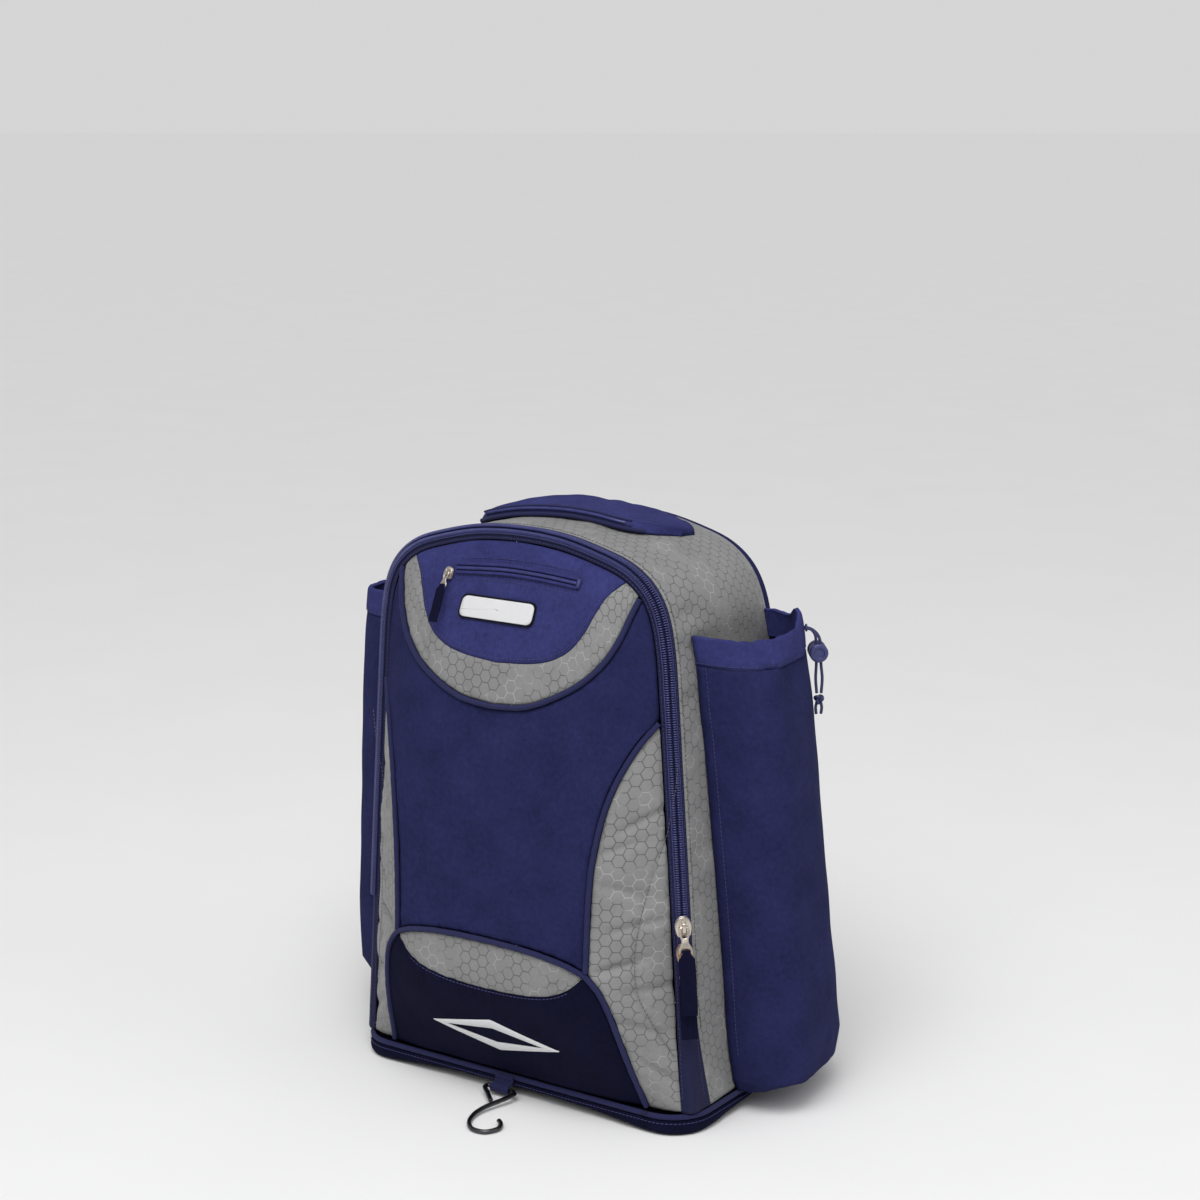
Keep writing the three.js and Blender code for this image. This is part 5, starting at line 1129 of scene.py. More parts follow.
def make_coil():
    """Two rows of nylon turns on either side of the zip's middle, one turn modelled and set down the arch."""
    end = float(arch_at_height(COIL_RIGHT_END_HEIGHT))
    length = (end - COIL_LEFT_END) * ARCH_LENGTH
    count = 2 * int(length / COIL_PITCH)
    p = COIL_LEFT_END + (end - COIL_LEFT_END) * (np.arange(count) // 2 * 2 + 1) / count
    middle, across, up, out = zip_frame(p)
    side = np.where(np.arange(count) % 2 == 0, 1.0, -1.0)[:, None]
    # Sections of one turn, from its outer bend to its head by the middle: place, half breadth, top, bottom
    sections = [(4.1, 0.3, 0.6, 0.0), (3.8, 0.48, 1.6, -0.1), (2.9, 0.5, 2.6, -0.1), (1.7, 0.5, 2.9, -0.1),
                (0.9, 0.45, 2.5, 0.0), (0.6, 0.3, 1.6, 0.2)]
    rings = []
    for away, half, top, bottom in sections:
        for s, h in ((-1, 0.0), (-0.75, 0.85), (0.75, 0.85), (1, 0.0)):
            high = COIL_LIFT + bottom + (top - bottom) * h + (0.35 if h else 0)
            rings.append(middle + across * (away * side) + up * (s * half) + out * high)
    points = np.stack(rings, axis=1)
    faces = []
    for r in range(len(sections) - 1):
        for c in range(4):
            a, b = r * 4 + c, r * 4 + (c + 1) % 4
            faces.append([a, b, b + 4, a + 4])
    last = (len(sections) - 1) * 4
    faces += [[3, 2, 1, 0], [last, last + 1, last + 2, last + 3]]
    size = points.shape[1]
    everything = []
    for k in range(count):
        order = 1 if side[k] > 0 else -1
        everything += [[i + size * k for i in face][::order] for face in faces]
    piece = repair_normals(add_mesh("zip_coil_turns", points.reshape(-1, 3), everything))
    finish_piece(piece, finish_of("coil"), "bag", ["zipper_coil"])
    place = np.linspace(COIL_LEFT_END, end, 500)
    middle, across, up, out = zip_frame(place)
    for sign, label in ((1, "outer"), (-1, "inner")):
        cord = middle + across * (sign * 4.2) + out * 0.5
        finish_piece(tube_of(f"zip_core_{label}", cord, 0.55, 6), finish_of("thread"), "bag")


# ---- the bat sleeves

def sleeve_point(side, level, turn, relief=0.0):
    """A place round a sleeve's wall, turn from 0 at the front seam to 1 at the rear one."""
    height, right, left, reach, front = level
    angle = np.asarray(turn, float) * np.pi
    forward = np.cos(angle)
    power = np.where(forward > 0, SLEEVE_FRONT_POWER, SLEEVE_REAR_POWER)
    reach_along = np.sign(forward) * np.abs(forward) ** power
    reach_out = np.clip(np.sin(angle), 0, 1) ** power
    rear = back_y(height) - SLEEVE_REAR_INSET
    y = (front + rear) / 2 - reach_along * (rear - front) / 2 * reach
    out = reach_out * ((right if side > 0 else left) * (1 + SLEEVE_SKEW * reach_along) - relief)
    x = gusset_side_x(y, np.full_like(y, max(height, WALL_FOOT + 1))) + SLEEVE_CLEARANCE
    return np.stack([side * (x + np.maximum(0, out)), y, np.full_like(y, height)], axis=-1)


def level_between(levels, at):
    """A row read smoothly between a sleeve's levels. at counts levels from the mouth."""
    low = int(np.clip(math.floor(at), 0, len(levels) - 2))
    part = at - low
    return tuple(a * (1 - part) + b * part for a, b in zip(levels[low], levels[low + 1]))


def wall_levels():
    heights = list(np.linspace(365, 47, WALL_ROWS))
    table = sorted((level[0],) + tuple(level[1:]) for level in SLEEVE_LEVELS[:6])
    rows = [(h,) + tuple(float(hermite(table, k, h)) for k in (1, 2, 3, 4)) for h in heights]
    foot = [level_between(SLEEVE_LEVELS, 5 + i / 7) for i in range(29)]
    return rows + foot[:-1] + [SLEEVE_LEVELS[-1]]


def make_sleeve(side):
    label = "right" if side > 0 else "left"
    seed = 91 if side > 0 else 97
    turn = np.linspace(0, 1, 121)
    folds = sum(depth * bump(turn - at, width) for at, width, depth in SLEEVE_FOLDS)
    rows = []
    levels = wall_levels()
    for level in levels:
        height = level[0]
        soft = (1.1 * waves(turn * SLEEVE_ROUND + 0.22 * height, seed, 90)
                + 0.6 * waves(height - 60 * turn, seed + 1, 80))
        gather = 0.5 * waves(turn * SLEEVE_ROUND, seed + 2, 17) * bump(365 - height, 26)
        foot = 1.3 * waves(turn * SLEEVE_ROUND, seed + 3, 26) * bump(height - 44, 22)
        dimple = (2.2 * bump(turn - 0.22, 0.06) * bump(height - 92, 16)
                  + 1.4 * bump(turn - 0.3, 0.05) * bump(height - 118, 12))
        edge = ramp(turn, 0, 0.06) * ramp(1 - turn, 0, 0.06)
        rows.append(sleeve_point(side, level, turn, folds + (soft + gather + foot + dimple) * edge))
    grid = np.array(rows)
    across = lengths(grid[20])
    down = lengths(grid[:, 60])
    uv = np.stack(np.broadcast_arrays(across[None, :], -down[:, None]), axis=-1)
    piece = turned_out(sheet_of(f"bat_sleeve_{label}_cloth", grid, 2.0, turned=side > 0, uv=uv))
    finish_piece(piece, finish_of("navy"), "bag", [f"bat_sleeve_{label}"])
    path = np.array([sleeve_point(side, level, np.array([0.014]))[0] for level in levels[:WALL_ROWS]])
    normal = np.tile([side * 0.35, -1.0, 0], (len(path), 1))
    stitches(f"sleeve_seam_stitches_{label}", path + normal * 0.25, normal, finish_of("thread"))


def make_hem(side):
    label = "right" if side > 0 else "left"
    turn = np.linspace(0, 1, 181)
    table = sorted(HEM_LEVELS)
    rows = []
    for share in np.linspace(0, 1, 22):
        height = 388 - share * (388 - 365.6)
        level = (height,) + tuple(float(hermite(table, k, height)) for k in (1, 2, 3, 4))
        gather = 0.8 * np.sin(turn * HEM_WAVES * 2 * np.pi)
        ripple = (0.55 * waves(turn * SLEEVE_ROUND, 101, 15) * bump(share - 0.2, 0.5)
                  + 0.35 * waves(turn * SLEEVE_ROUND, 102, 8) * bump(share - 0.9, 0.3))
        channel = 0.9 * bump(share - 0.93, 0.045) + 0.5 * (1 - ramp(share, 0, 0.08))
        edge = ramp(turn, 0, 0.03) * ramp(1 - turn, 0, 0.03)
        row = sleeve_point(side, level, turn, gather + (ripple + channel) * edge)
        top = (1 - share) ** 1.5
        row[:, 2] += (HEM_PEAK[2] * bump(turn - HEM_PEAK[0], HEM_PEAK[1]) * top
                      + 0.6 * waves(turn * SLEEVE_ROUND, 103, 24) * top * edge)
        rows.append(row)
    grid = np.array(rows)
    piece = turned_out(sheet_of(f"sleeve_hem_{label}_cloth", grid, 3.4, turned=side > 0, edge_roll=0.5, roll_width=2))
    finish_piece(piece, finish_of("pale_navy"), "bag", [f"sleeve_hem_{label}"])
    lower = grid[20]
    normal = unit(np.cross(np.gradient(lower, axis=0), [0, 0, 1]) * side)
    outward = np.sign(np.sum(normal[90] * np.array([side, 0, 0])))
    stitches(f"hem_stitches_{label}", grid[19] + normal * outward * 0.4, normal * outward, finish_of("thread"))
    anchor, out, rearward = cord_anchor(side)
    eye = [anchor + out * 1.0 + rearward * math.cos(a) * 4.1 + np.array([0, 0, 1]) * math.sin(a) * 2.4
           for a in np.linspace(0, 2 * math.pi, 28, endpoint=False)]
    ring = tube_of(f"eyelet_stitching_{label}", eye, 0.7, 8, closed=True)
    finish_piece(turned_out(ring), finish_of("thread"), "bag")


def cord_anchor(side):
    """The eyelet's place on the hem, the way off the hem and the way round it to the rear."""
    place = sleeve_point(side, HEM_LEVELS[2], np.array([EYELET_ROUND]))[0]
    near = sleeve_point(side, HEM_LEVELS[2], np.array([EYELET_ROUND + 0.01]))[0]
    rearward = near - place
    rearward[2] = 0
    rearward /= np.linalg.norm(rearward)
    out = np.array([rearward[1], -rearward[0], 0]) * side
    place[2] = CORD_ROUTE[0][3]
    return place, out, rearward


# ---- the top pocket

def top_pocket_point(x, share, lift=0.0):
    front, back, rise = (hermite(TOP_POCKET, k, x) for k in (1, 2, 3))
    y = front + (back - front) * share
    crown = 1 - np.abs(2 * np.asarray(share) - 1) ** 5
    return np.stack(np.broadcast_arrays(x, y, gusset_top_z(x, y) + 2.2 + lift + rise * crown), axis=-1)


def with_walls(grid):
    """Adds a row or column all round that drops to just over the gusset."""
    wider = np.pad(grid, ((1, 1), (1, 1), (0, 0)), mode="edge")
    edge = np.ones(wider.shape[:2], bool)
    edge[1:-1, 1:-1] = False
    wider[edge, 2] = gusset_top_z(wider[edge, 0], wider[edge, 1]) + 0.5
    return wider


def make_top_pocket():
    shares = np.concatenate([np.linspace(0, 0.06, 9), np.linspace(0.075, 0.94, 56), np.linspace(0.95, 1, 7)])
    share, x = np.meshgrid(shares, np.linspace(-84, 89, 150), indexing="ij")
    relief = 0.5 * waves(x + 30 * share, 111, 44) * np.sin(np.pi * share)
    relief += 0.4 * waves(x, 112, 15) * bump(share - 0.1, 0.08) + 0.6 * waves(x, 113, 26) * bump(share - 0.86, 0.12)
    relief += 0.9 * bump(x + 40 + 30 * share, 8) * bump(share - 0.35, 0.25) - 0.8 * bump(share - 0.16, 0.012)
    grid = top_pocket_point(x, share)
    grid, relief = with_walls(grid), np.pad(relief * ramp(np.minimum(share, 1 - share), 0, 0.03), 1)
    piece = turned_out(sheet_of("top_pocket_cloth", grid, 1.4, relief=relief))
    finish_piece(piece, finish_of("pale_navy"), "bag", ["top_pocket"])
    line = np.linspace(-80, 78, 260)
    front = top_pocket_point(line, np.full_like(line, 0.19), 0.15)
    stitches("top_pocket_stitches", front, np.tile([0, -0.4, 1.0], (260, 1)), finish_of("thread"))

    def front_line(forward, high, left, right, count=220):
        x = np.linspace(-84 + left, 89 - right, count)
        return top_pocket_point(x, np.zeros(count)) + np.array([0, -forward, high])

    piping = tube_of("top_pocket_piping_cover", front_line(2.6, 0.6, 5, 14), 1.9, 12)
    finish_piece(piping, finish_of("piping"), "bag", ["top_pocket_piping"])
    path = front_line(2.4, 5.1, 14, 26, 400)
    zip_line = tube_of("top_pocket_zip_coil", path, 1.35 + 0.3 * np.cos(np.arange(400) * math.pi), 10)
    finish_piece(zip_line, finish_of("coil"), "bag", ["top_pocket_zip"])
    for high, label in ((2.9, "lower"), (7.2, "upper")):
        welt = tube_of(f"top_pocket_welt_{label}", front_line(1.9 if high < 5 else 1.0, high, 8, 22), 1.0, 8)
        finish_piece(welt, finish_of("piping"), "bag")


# ---- the base and its piping

def base_plan(inset, per_corner=12, per_side=40):
    """A rounded rectangle inside the base's rim, counted the same way at every inset."""
    places = []
    corners = [(1, BASE_FRONT, 36, 0), (1, BASE_BACK, 24, 90), (-1, BASE_BACK, 24, 180), (-1, BASE_FRONT, 36, 270)]
    for sign, y, rounding, start in corners:
        radius = max(rounding, inset + LEAST_CORNER)
        cx, cy = sign * (BODY_SIDE - radius), y - math.copysign(radius, y)
        for i in range(per_corner + 1):
            angle = math.radians(start - 90 + i / per_corner * 90)
            places.append((cx + (radius - inset) * math.cos(angle), cy + (radius - inset) * math.sin(angle)))
    places = np.array(places)
    whole = []
    for i, place in enumerate(places):
        whole.append(place)
        if (i + 1) % (per_corner + 1) == 0:
            after = places[(i + 1) % len(places)]
            whole += [place + (after - place) * k / per_side for k in range(1, per_side)]
    return np.array(whole)


def rings_piece(name, rings, uv=None):
    """A closed body through rings of equal counts, capped at both ends."""
    rings = np.array(rings, float)
    count, size = rings.shape[:2]
    index = np.arange(count * size).reshape(count, size)
    quads = np.stack([index[:-1], np.roll(index, -1, axis=1)[:-1], np.roll(index, -1, axis=1)[1:], index[1:]], axis=-1)
    faces = quads.reshape(-1, 4).tolist() + [index[0, ::-1].tolist(), index[-1].tolist()]
    if uv is None:
        around = lengths(rings[count // 2])
        down = np.concatenate([[0], np.cumsum(np.linalg.norm(np.diff(rings, axis=0), axis=-1).mean(axis=1))])
        uv = np.stack(np.broadcast_arrays(around[None, :], down[:, None]), axis=-1)
    return turned_out(repair_normals(add_mesh(name, rings.reshape(-1, 3), faces, uv)))


def make_base():
    depth = BASE_HEIGHT + SAG
    levels = [(44, 0, 0), (30, 0.005, 0.35), (14, 0.02, 0.75), (5, 0.05, 0.95), (1.6, 0.12, 1), (0.4, 0.3, 0.8),
              (0, 0.5, 0.5), (0.35, 0.72, 0.22), (0.9, 0.92, 0), (2.2, 0.99, 0), (3.5, 1, 0), (12, 1, 0)]
    rings = []
    for inset, height, follows in levels:
        plan = base_plan(inset)
        run = lengths(plan)
        to_corner = np.hypot(np.abs(plan[:, 0]) - 150, plan[:, 1] + 104)
        rise = BASE_RIM_RISE * (1 - bump(to_corner, 62)) * follows
        soft = 0.35 * waves(run, 121, 34) * (1 if 0 < height < 1 and inset < 3 else 0)
        plan = plan + unit(plan - plan.mean(axis=0)) * soft[:, None]
        rings.append(np.column_stack([plan, height * depth - SAG + rise]))
    # The base takes the shaded copy of navy: painted shade
    finish_piece(rings_piece("base_cloth", rings), finish_of("navy_painted_shade"), "bag", ["base_panel"])
    path = base_plan(2.2)
    middle = BASE_HEIGHT + GAP + 2.2
    line = np.column_stack([path, np.full(len(path), middle)])
    piping = turned_out(tube_of("base_piping_cover", line, 2.2, 14, closed=True))
    finish_piece(piping, finish_of("piping"), "bag", ["base_piping"])
    rim = base_plan(0.1)
    rim_line = np.column_stack([rim, np.full(len(rim), 6.6)])
    closed = np.vstack([rim_line, rim_line[:1]])
    normal = unit(np.column_stack([rim - rim.mean(axis=0), np.zeros(len(rim))]))
    dense = np.linspace(0, 1, 900)
    stitches("base_stitches", spaced(closed, dense), spaced(np.vstack([normal, normal[:1]]), dense),
             finish_of("thread"))


# ---- the back and the harness

def make_back():
    place = np.linspace(0, 1, 220)
    bx, bz = back_edge(place)
    centre = np.array([0, ZIP_CROWN * 0.45])
    layers = [(0.963, 10), (0.983, 9.6), (0.994, 8), (0.997, 5.5), (0.994, 3.2), (0.983, 1.4), (0.958, 0.35), (0.93, 0),
              (0.8, -0.9), (0.78, 0.9), (0.76, -0.6), (0.55, -1.0), (0.3, -1.0), (0.1, -1.0)]
    rings = []
    for inset, forward in layers:
        x = centre[0] + (bx - centre[0]) * inset
        z = centre[1] + (bz - centre[1]) * inset
        z = np.maximum(z, WALL_FOOT + (1 - inset) * 90)
        rings.append(np.stack([x, back_y(z) - forward, z], axis=-1))
    piece = rings_piece("back_padding", rings)
    finish_piece(piece, finish_of("padding"), "bag", ["back_panel"])


STRAP_ROUTE = [(46, 5.2, 434, 0.9), (50, 8.5, 400, 1), (60, 14, 362, 1.04), (76, 18, 318, 1.05),
               (90, 17, 272, 1), (98, 12, 232, 0.85), (101, 9, 212, 0.62)]
STRAP_HALF_WIDTH = 31
WEBBING_ROUTE = [(104, 7.6, 181.1), (112, 5, 140), (122, 3.2, 90), (132, 1.3, 44)]


def strap_frames(route, side, samples):
    rows = catmull(np.array(route, float), samples)
    points = np.stack([rows[:, 0] * side, back_y(rows[:, 2]) + rows[:, 1], rows[:, 2]], axis=-1)
    run = unit(np.gradient(points, axis=0))
    rearward = unit(np.array([0, 1.0, 0]) - run * run[:, 1:2])
    across = np.cross(run, rearward)
    return rows, points, across, rearward


def make_harness(side):
    label = "right" if side > 0 else "left"
    rows, points, across, rearward = strap_frames(STRAP_ROUTE, side, 24)
    angle = np.linspace(0, 2 * math.pi, 40, endpoint=False)
    rings = []
    for i, point in enumerate(points):
        half = STRAP_HALF_WIDTH * rows[i, 3]
        wide = np.sign(np.cos(angle)) * np.abs(np.cos(angle)) ** 0.45 * half
        high = np.sign(np.sin(angle)) * np.abs(np.sin(angle)) ** 0.75 * 4.5
        high *= 1 - 0.3 * bump(np.abs(wide) - (half - 5), 1.4)
        rings.append(point + across[i] * wide[:, None] + rearward[i] * high[:, None])
    strap = rings_piece(f"shoulder_strap_{label}_padding", rings)
    finish_piece(strap, finish_of("padding"), "bag", [f"shoulder_strap_{label}"])
    for edge in (-1, 1):
        line = points + across * (edge * (STRAP_HALF_WIDTH * rows[:, 3] - 0.4))[:, None]
        tape = tube_of(f"strap_binding_{label}_{'a' if edge < 0 else 'b'}", line, 2.0, 10)
        finish_piece(tape, finish_of("webbing"), "bag")
    rows, points, across, rearward = strap_frames(WEBBING_ROUTE, side, 30)
    webbing = turned_out(ribbon_of(f"strap_webbing_{label}_band", points + rearward * 0.8, across, 12.5, 1.6,
                                   rearward, 0.1))
    finish_piece(webbing, finish_of("webbing"), "bag", [f"strap_webbing_{label}"])
    buckle = plate(f"strap_buckle_{label}_frame",
                   rounded([(-16.5, -12), (16.5, -12), (16.5, 12), (-16.5, 12)], 3), 4, 0.7,
                   [rounded([(-13, m - 1.8), (13, m - 1.8), (13, m + 1.8), (-13, m + 1.8)], 1) for m in (-5.52, 5.52)])
    turn = Matrix.Rotation(math.pi / 2 + math.atan(BACK_LEAN), 4, "X")
    seat = Matrix.Translation(to_frame([102.5 * side, float(back_y(195.8)) + 8.3, 195.8])[0])
    buckle.data.transform(seat @ turn)
    finish_piece(buckle, finish_of("dark_plastic"), "bag", [f"strap_buckle_{label}"])


def make_haul_loop():
    angle = np.linspace(0, math.pi, 60)
    bow = np.sin(angle) ** 0.8
    x = -17 * np.cos(angle) * (1 + 0.12 * bow)
    y = float(back_y(426)) + 0.7 + 20 * bow
    path = np.stack([x, y, np.full_like(x, 436)], axis=-1)
    out = np.stack([-np.cos(angle), np.sin(angle), 0 * angle], axis=-1)
    across = np.tile([0.0, 0, 1], (60, 1))
    loop = turned_out(ribbon_of("haul_loop_webbing", path + out, across, 10, 2.0, out))
    finish_piece(loop, finish_of("webbing"), "bag", ["haul_loop"])


# ---- hard parts, modelled by hand tools

def rounded(outline, radius, steps=4):
    """An outline with its corners rounded."""
    result = []
    count = len(outline)
    for i, corner in enumerate(outline):
        before, after = Vector(outline[i - 1]), Vector(outline[(i + 1) % count])
        here = Vector(corner)
        reach = min(radius, (before - here).length * 0.45, (after - here).length * 0.45)
        a, b = here + (before - here).normalized() * reach, here + (after - here).normalized() * reach
        for k in range(steps + 1):
            t = k / steps
            result.append(tuple(a * (1 - t) ** 2 + here * 2 * t * (1 - t) + b * t * t))
    return result


def start_object(name):
    piece = bpy.context.object
    piece.name = name
    piece.data.name = name
    return piece


def plate(name, outline, thickness, bevel, openings=(), segments=3):
    """A flat plate of an outline, centred on its own plane, with windows and softened edges."""
    bpy.ops.object.select_all(action="DESELECT")
    bpy.ops.mesh.primitive_circle_add(vertices=len(outline), radius=thickness * MM, fill_type="NGON")
    piece = start_object(name)
    for vertex, (x, y) in zip(piece.data.vertices, outline):
        vertex.co = (x * MM, y * MM, -thickness / 2 * MM)
    bpy.ops.object.mode_set(mode="EDIT")
    bpy.ops.mesh.select_all(action="SELECT")
    bpy.ops.mesh.extrude_region_move(TRANSFORM_OT_translate={"value": (0, 0, thickness * MM)})
    bpy.ops.mesh.select_all(action="SELECT")
    bpy.ops.mesh.normals_make_consistent(inside=False)
    bpy.ops.object.mode_set(mode="OBJECT")
    for i, opening in enumerate(openings):
        cutter = plate(f"{name}_cutter_{i}", opening, thickness * 3, 0)
        cut_away(piece, cutter)
    if bevel:
        soften(piece, bevel, segments)
    return piece


def make_active(piece):
    bpy.ops.object.select_all(action="DESELECT")
    piece.select_set(True)
    bpy.context.view_layer.objects.active = piece


def cut_away(piece, cutter):
    make_active(piece)
    cut = piece.modifiers.new("cut", "BOOLEAN")
    cut.operation = "DIFFERENCE"
    cut.solver = "EXACT"
    cut.object = cutter
    bpy.ops.object.modifier_apply(modifier=cut.name)
    bpy.data.objects.remove(cutter)


def soften(piece, width, segments=3, angle=35):
    make_active(piece)
    edge = piece.modifiers.new("edge", "BEVEL")
    edge.width = width * MM
    edge.segments = segments
    edge.limit_method = "ANGLE"
    edge.angle_limit = math.radians(angle)
    edge.harden_normals = False
    bpy.ops.object.modifier_apply(modifier=edge.name)
    bpy.ops.object.shade_smooth_by_angle(angle=math.radians(40))


def join(name, pieces):
    bpy.ops.object.select_all(action="DESELECT")
    for piece in pieces:
        piece.select_set(True)
    bpy.context.view_layer.objects.active = pieces[0]
    bpy.ops.object.join()
    return start_object(name)


SLIDER_HEIGHT = 4.6
PIVOT_HEIGHT = SLIDER_HEIGHT + 1.45
PULLER_LENGTH = 20


def make_slider(name):
    """A zip slider: a softly pinched body with a bridge on its face."""
    right = [(4.3, -8), (5.6, -6.2), (6.5, -1.5), (6.4, 1.5), (5.5, 4.6), (3.9, 6.6), (1.7, 8)]
    outline = right + [(-x, y) for x, y in reversed(right)]
    lower = plate(f"{name}_wing", outline, 1.7, 0.45)
    lower.data.transform(Matrix.Translation((0, 0, 0.85 * MM)))
    upper = plate(f"{name}_face", [(x * 0.97, y * 0.985) for x, y in outline], 2.6, 0.75)
    upper.data.transform(Matrix.Translation((0, 0, 3.1 * MM)))
    post = plate(f"{name}_post", rounded([(-1.6, 2), (1.6, 2), (1, 6.6), (-1, 6.6)], 0.6), 2.2, 0)
    post.data.transform(Matrix.Translation((0, 0, 2.1 * MM)))
    arch = [(-4.8, 0), (-4.75, 2.6), (-3.9, 4.1), (-2.6, 4.55), (2.6, 4.55), (3.9, 4.1), (4.75, 2.6), (4.8, 0),
            (3.6, 0), (3.5, 2.1), (2.9, 3.0), (2.1, 3.35), (-2.1, 3.35), (-2.9, 3.0), (-3.5, 2.1), (-3.6, 0)]
    bridge = plate(f"{name}_bridge", arch, 2.6, 0.4)
    upright = Matrix(((0, 0, 1, 0), (1, 0, 0, 0), (0, 1, 0, (SLIDER_HEIGHT - 0.4) * MM), (0, 0, 0, 1)))
    bridge.data.transform(upright)
    return join(name, [lower, upper, post, bridge])


def make_puller(name):
    """A cast pull: a bar through the bridge, a window, a waist and a fork that holds the tab."""
    right = [(3.0, 0.8), (4.0, -0.4), (4.3, -2.2), (4.0, -6.0), (2.9, -9.0), (2.9, -11.5), (4.6, -14.5), (5.5, -17.5),
             (5.4, -19.4), (4.5, -20), (3.6, -19.2), (3.4, -17.3), (2.4, -16.0)]
    outline = right + [(-x, y) for x, y in reversed(right)]
    window = rounded([(-1.9, -0.8), (-1.9, -7.8), (1.9, -7.8), (1.9, -0.8)], 1.3)
    return plate(name, outline, 1.6, 0.4, [window])


def make_tab(name, scale, droop, seed):
    """A folded cloth tab that hangs from the pull's fork."""
    down = np.linspace(0, 1, 70)
    half = np.interp(down, [0, 0.07, 0.15, 0.9, 1], [2.5, 2.6, 6.1, 6.2, 5.9])
    top = -PULLER_LENGTH * 0.82 - 0.4
    z = -math.tan(droop) * 50 * down ** 2 + 0.35 * waves(down * 50, seed, 22)
    share = np.linspace(-1, 1, 17)
    grid = np.stack([share[None, :] * half[:, None], np.repeat((top - 50 * down)[:, None], 17, axis=1),
                     z[:, None] + 1.1 - 0.25 * np.abs(share[None, :]) ** 6
                     + 0.12 * waves(share * 6, seed + 1, 5)], axis=-1)
    piece = sheet_of(name, grid * scale, 2.2 * scale)
    piece.data.transform(Matrix.Translation((0, 0, -SAG * MM)))
    return turned_out(piece)


def set_pull(name, node, middle, across, up, out, scale, tilt, droop, lift, body, nickel, seed):
    """Makes a slider, its pull and its tab, and sets them on the zip."""
    place = to_frame(middle + out * lift)[0]
    seat = Matrix(((across[0], up[0], out[0], place[0]), (across[1], up[1], out[1], place[1]),
                   (across[2], up[2], out[2], place[2]), (0, 0, 0, 1)))
    size = Matrix.Scale(scale, 4)
    swing = seat @ Matrix.Translation((0, 0, PIVOT_HEIGHT * scale * MM)) @ Matrix.Rotation(-math.radians(tilt), 4, "X")
    slider = make_slider(f"{name}_slider_body")
    slider.data.transform(seat @ size)
    finish_piece(slider, finish_of(nickel), "bag", [f"{node}_slider"])
    pull = make_puller(f"{name}_pull")
    pull.data.transform(swing @ size)
    finish_piece(pull, finish_of(nickel), body, [f"{node}_puller"])
    tab = make_tab(f"{name}_tab_cloth", scale, math.radians(droop), seed)
    tab.data.transform(swing)
    # The tab takes the shaded copy of navy: painted shade
    finish_piece(tab, finish_of("navy_painted_shade"), body, [f"{node}_tab"])


def make_main_pulls():
    lift = COIL_LIFT + 2 * COIL_HALF_HEIGHT + GAP
    for name, height, tilt, droop, nickel, seed in (("upper", 168, 15, 12, "nickel", 131),
                                                    ("lower", 147, 1, 0, "brass", 135)):
        middle, across, up, out = (part[0] for part in zip_frame(arch_at_height(height)))
        up = -up
        across = np.cross(up, out)
        set_pull(f"zip_{name}", f"zipper_{name}", middle, across, up, out, 1, tilt, droop, lift,
                 f"{name}_puller", nickel, seed)


def make_yoke_zip():
    flat = catmull([(-50, 427.5), (-5, 430.5), (33, 430), (66, 427.5)], 70)
    x, z = flat[:, 0], flat[:, 1]
    normal = door_normal(x, z)
    for side, label in ((-1, "lower"), (1, "upper")):
        welt = door_point(x, z + side * 3.1, 1.2 + 0.15 * waves(x, 141 + side, 12))
        finish_piece(tube_of(f"yoke_welt_{label}", welt, 1.35, 10), finish_of("pale_navy"), "bag")
        for row, away in enumerate((4.7, 8.2)):
            stitches(f"yoke_stitches_{label}_{row}", door_point(x, z + side * away, 0.0), normal, finish_of("thread"))
    run = unit(np.gradient(flat, axis=0))
    share = np.linspace(-1, 1, 9)
    gx = x[None] - run[None, :, 1] * (share * 4.4)[:, None]
    gz = z[None] + run[None, :, 0] * (share * 4.4)[:, None]
    tape = sheet_of("yoke_zip_tape", door_point(gx, gz, 0.9 + 0 * gx), 0.7)
    finish_piece(turned_out(tape), finish_of("tape"), "bag", ["yoke_zip"])
    dense = spaced(flat, np.linspace(0.01, 0.99, 320))
    coil = door_point(dense[:, 0], dense[:, 1], 1.5)
    thickness = 1.25 + 0.28 * np.cos(np.arange(320) * math.pi)
    finish_piece(tube_of("yoke_zip_coil", coil, thickness, 10), finish_of("coil"), "bag")
    ends = door_point(np.array([66.5, 66.8]), np.array([424.0, 430.8]), 1.4)
    finish_piece(tube_of("yoke_zip_stop", ends, 1.6, 10), finish_of("thread"), "bag")
    out = door_normal(np.array([-56.0]), np.array([423.0]))[0]
    across = -np.cross(np.cross([1.0, 0, 0], out), out)
    across /= np.linalg.norm(across)
    up = np.cross(out, across)
    middle = door_point(np.array([-56.0]), np.array([423.0]))[0]
    set_pull("yoke", "yoke", middle, across, up, out, 0.62, 6, 3, GAP + 0.5, "yoke_puller_pull", "nickel", 145)


HOOK_WIRE = [(-1.5, 21), (-12, 11.5), (-20.5, 3.5), (-19.5, 0.3), (-8, 0), (3.5, 0.3), (8.6, 3), (8.2, 9), (4.6, 22),
             (1.5, 34), (1.5, 47), (6.5, 60), (17, 68.5), (28, 67), (33, 57), (30, 49.5), (25.5, 46)]
HOOK_BAR_Y = -127.3
HOOK_BAR_Z = 3
HOOK_RADIUS = 1.9


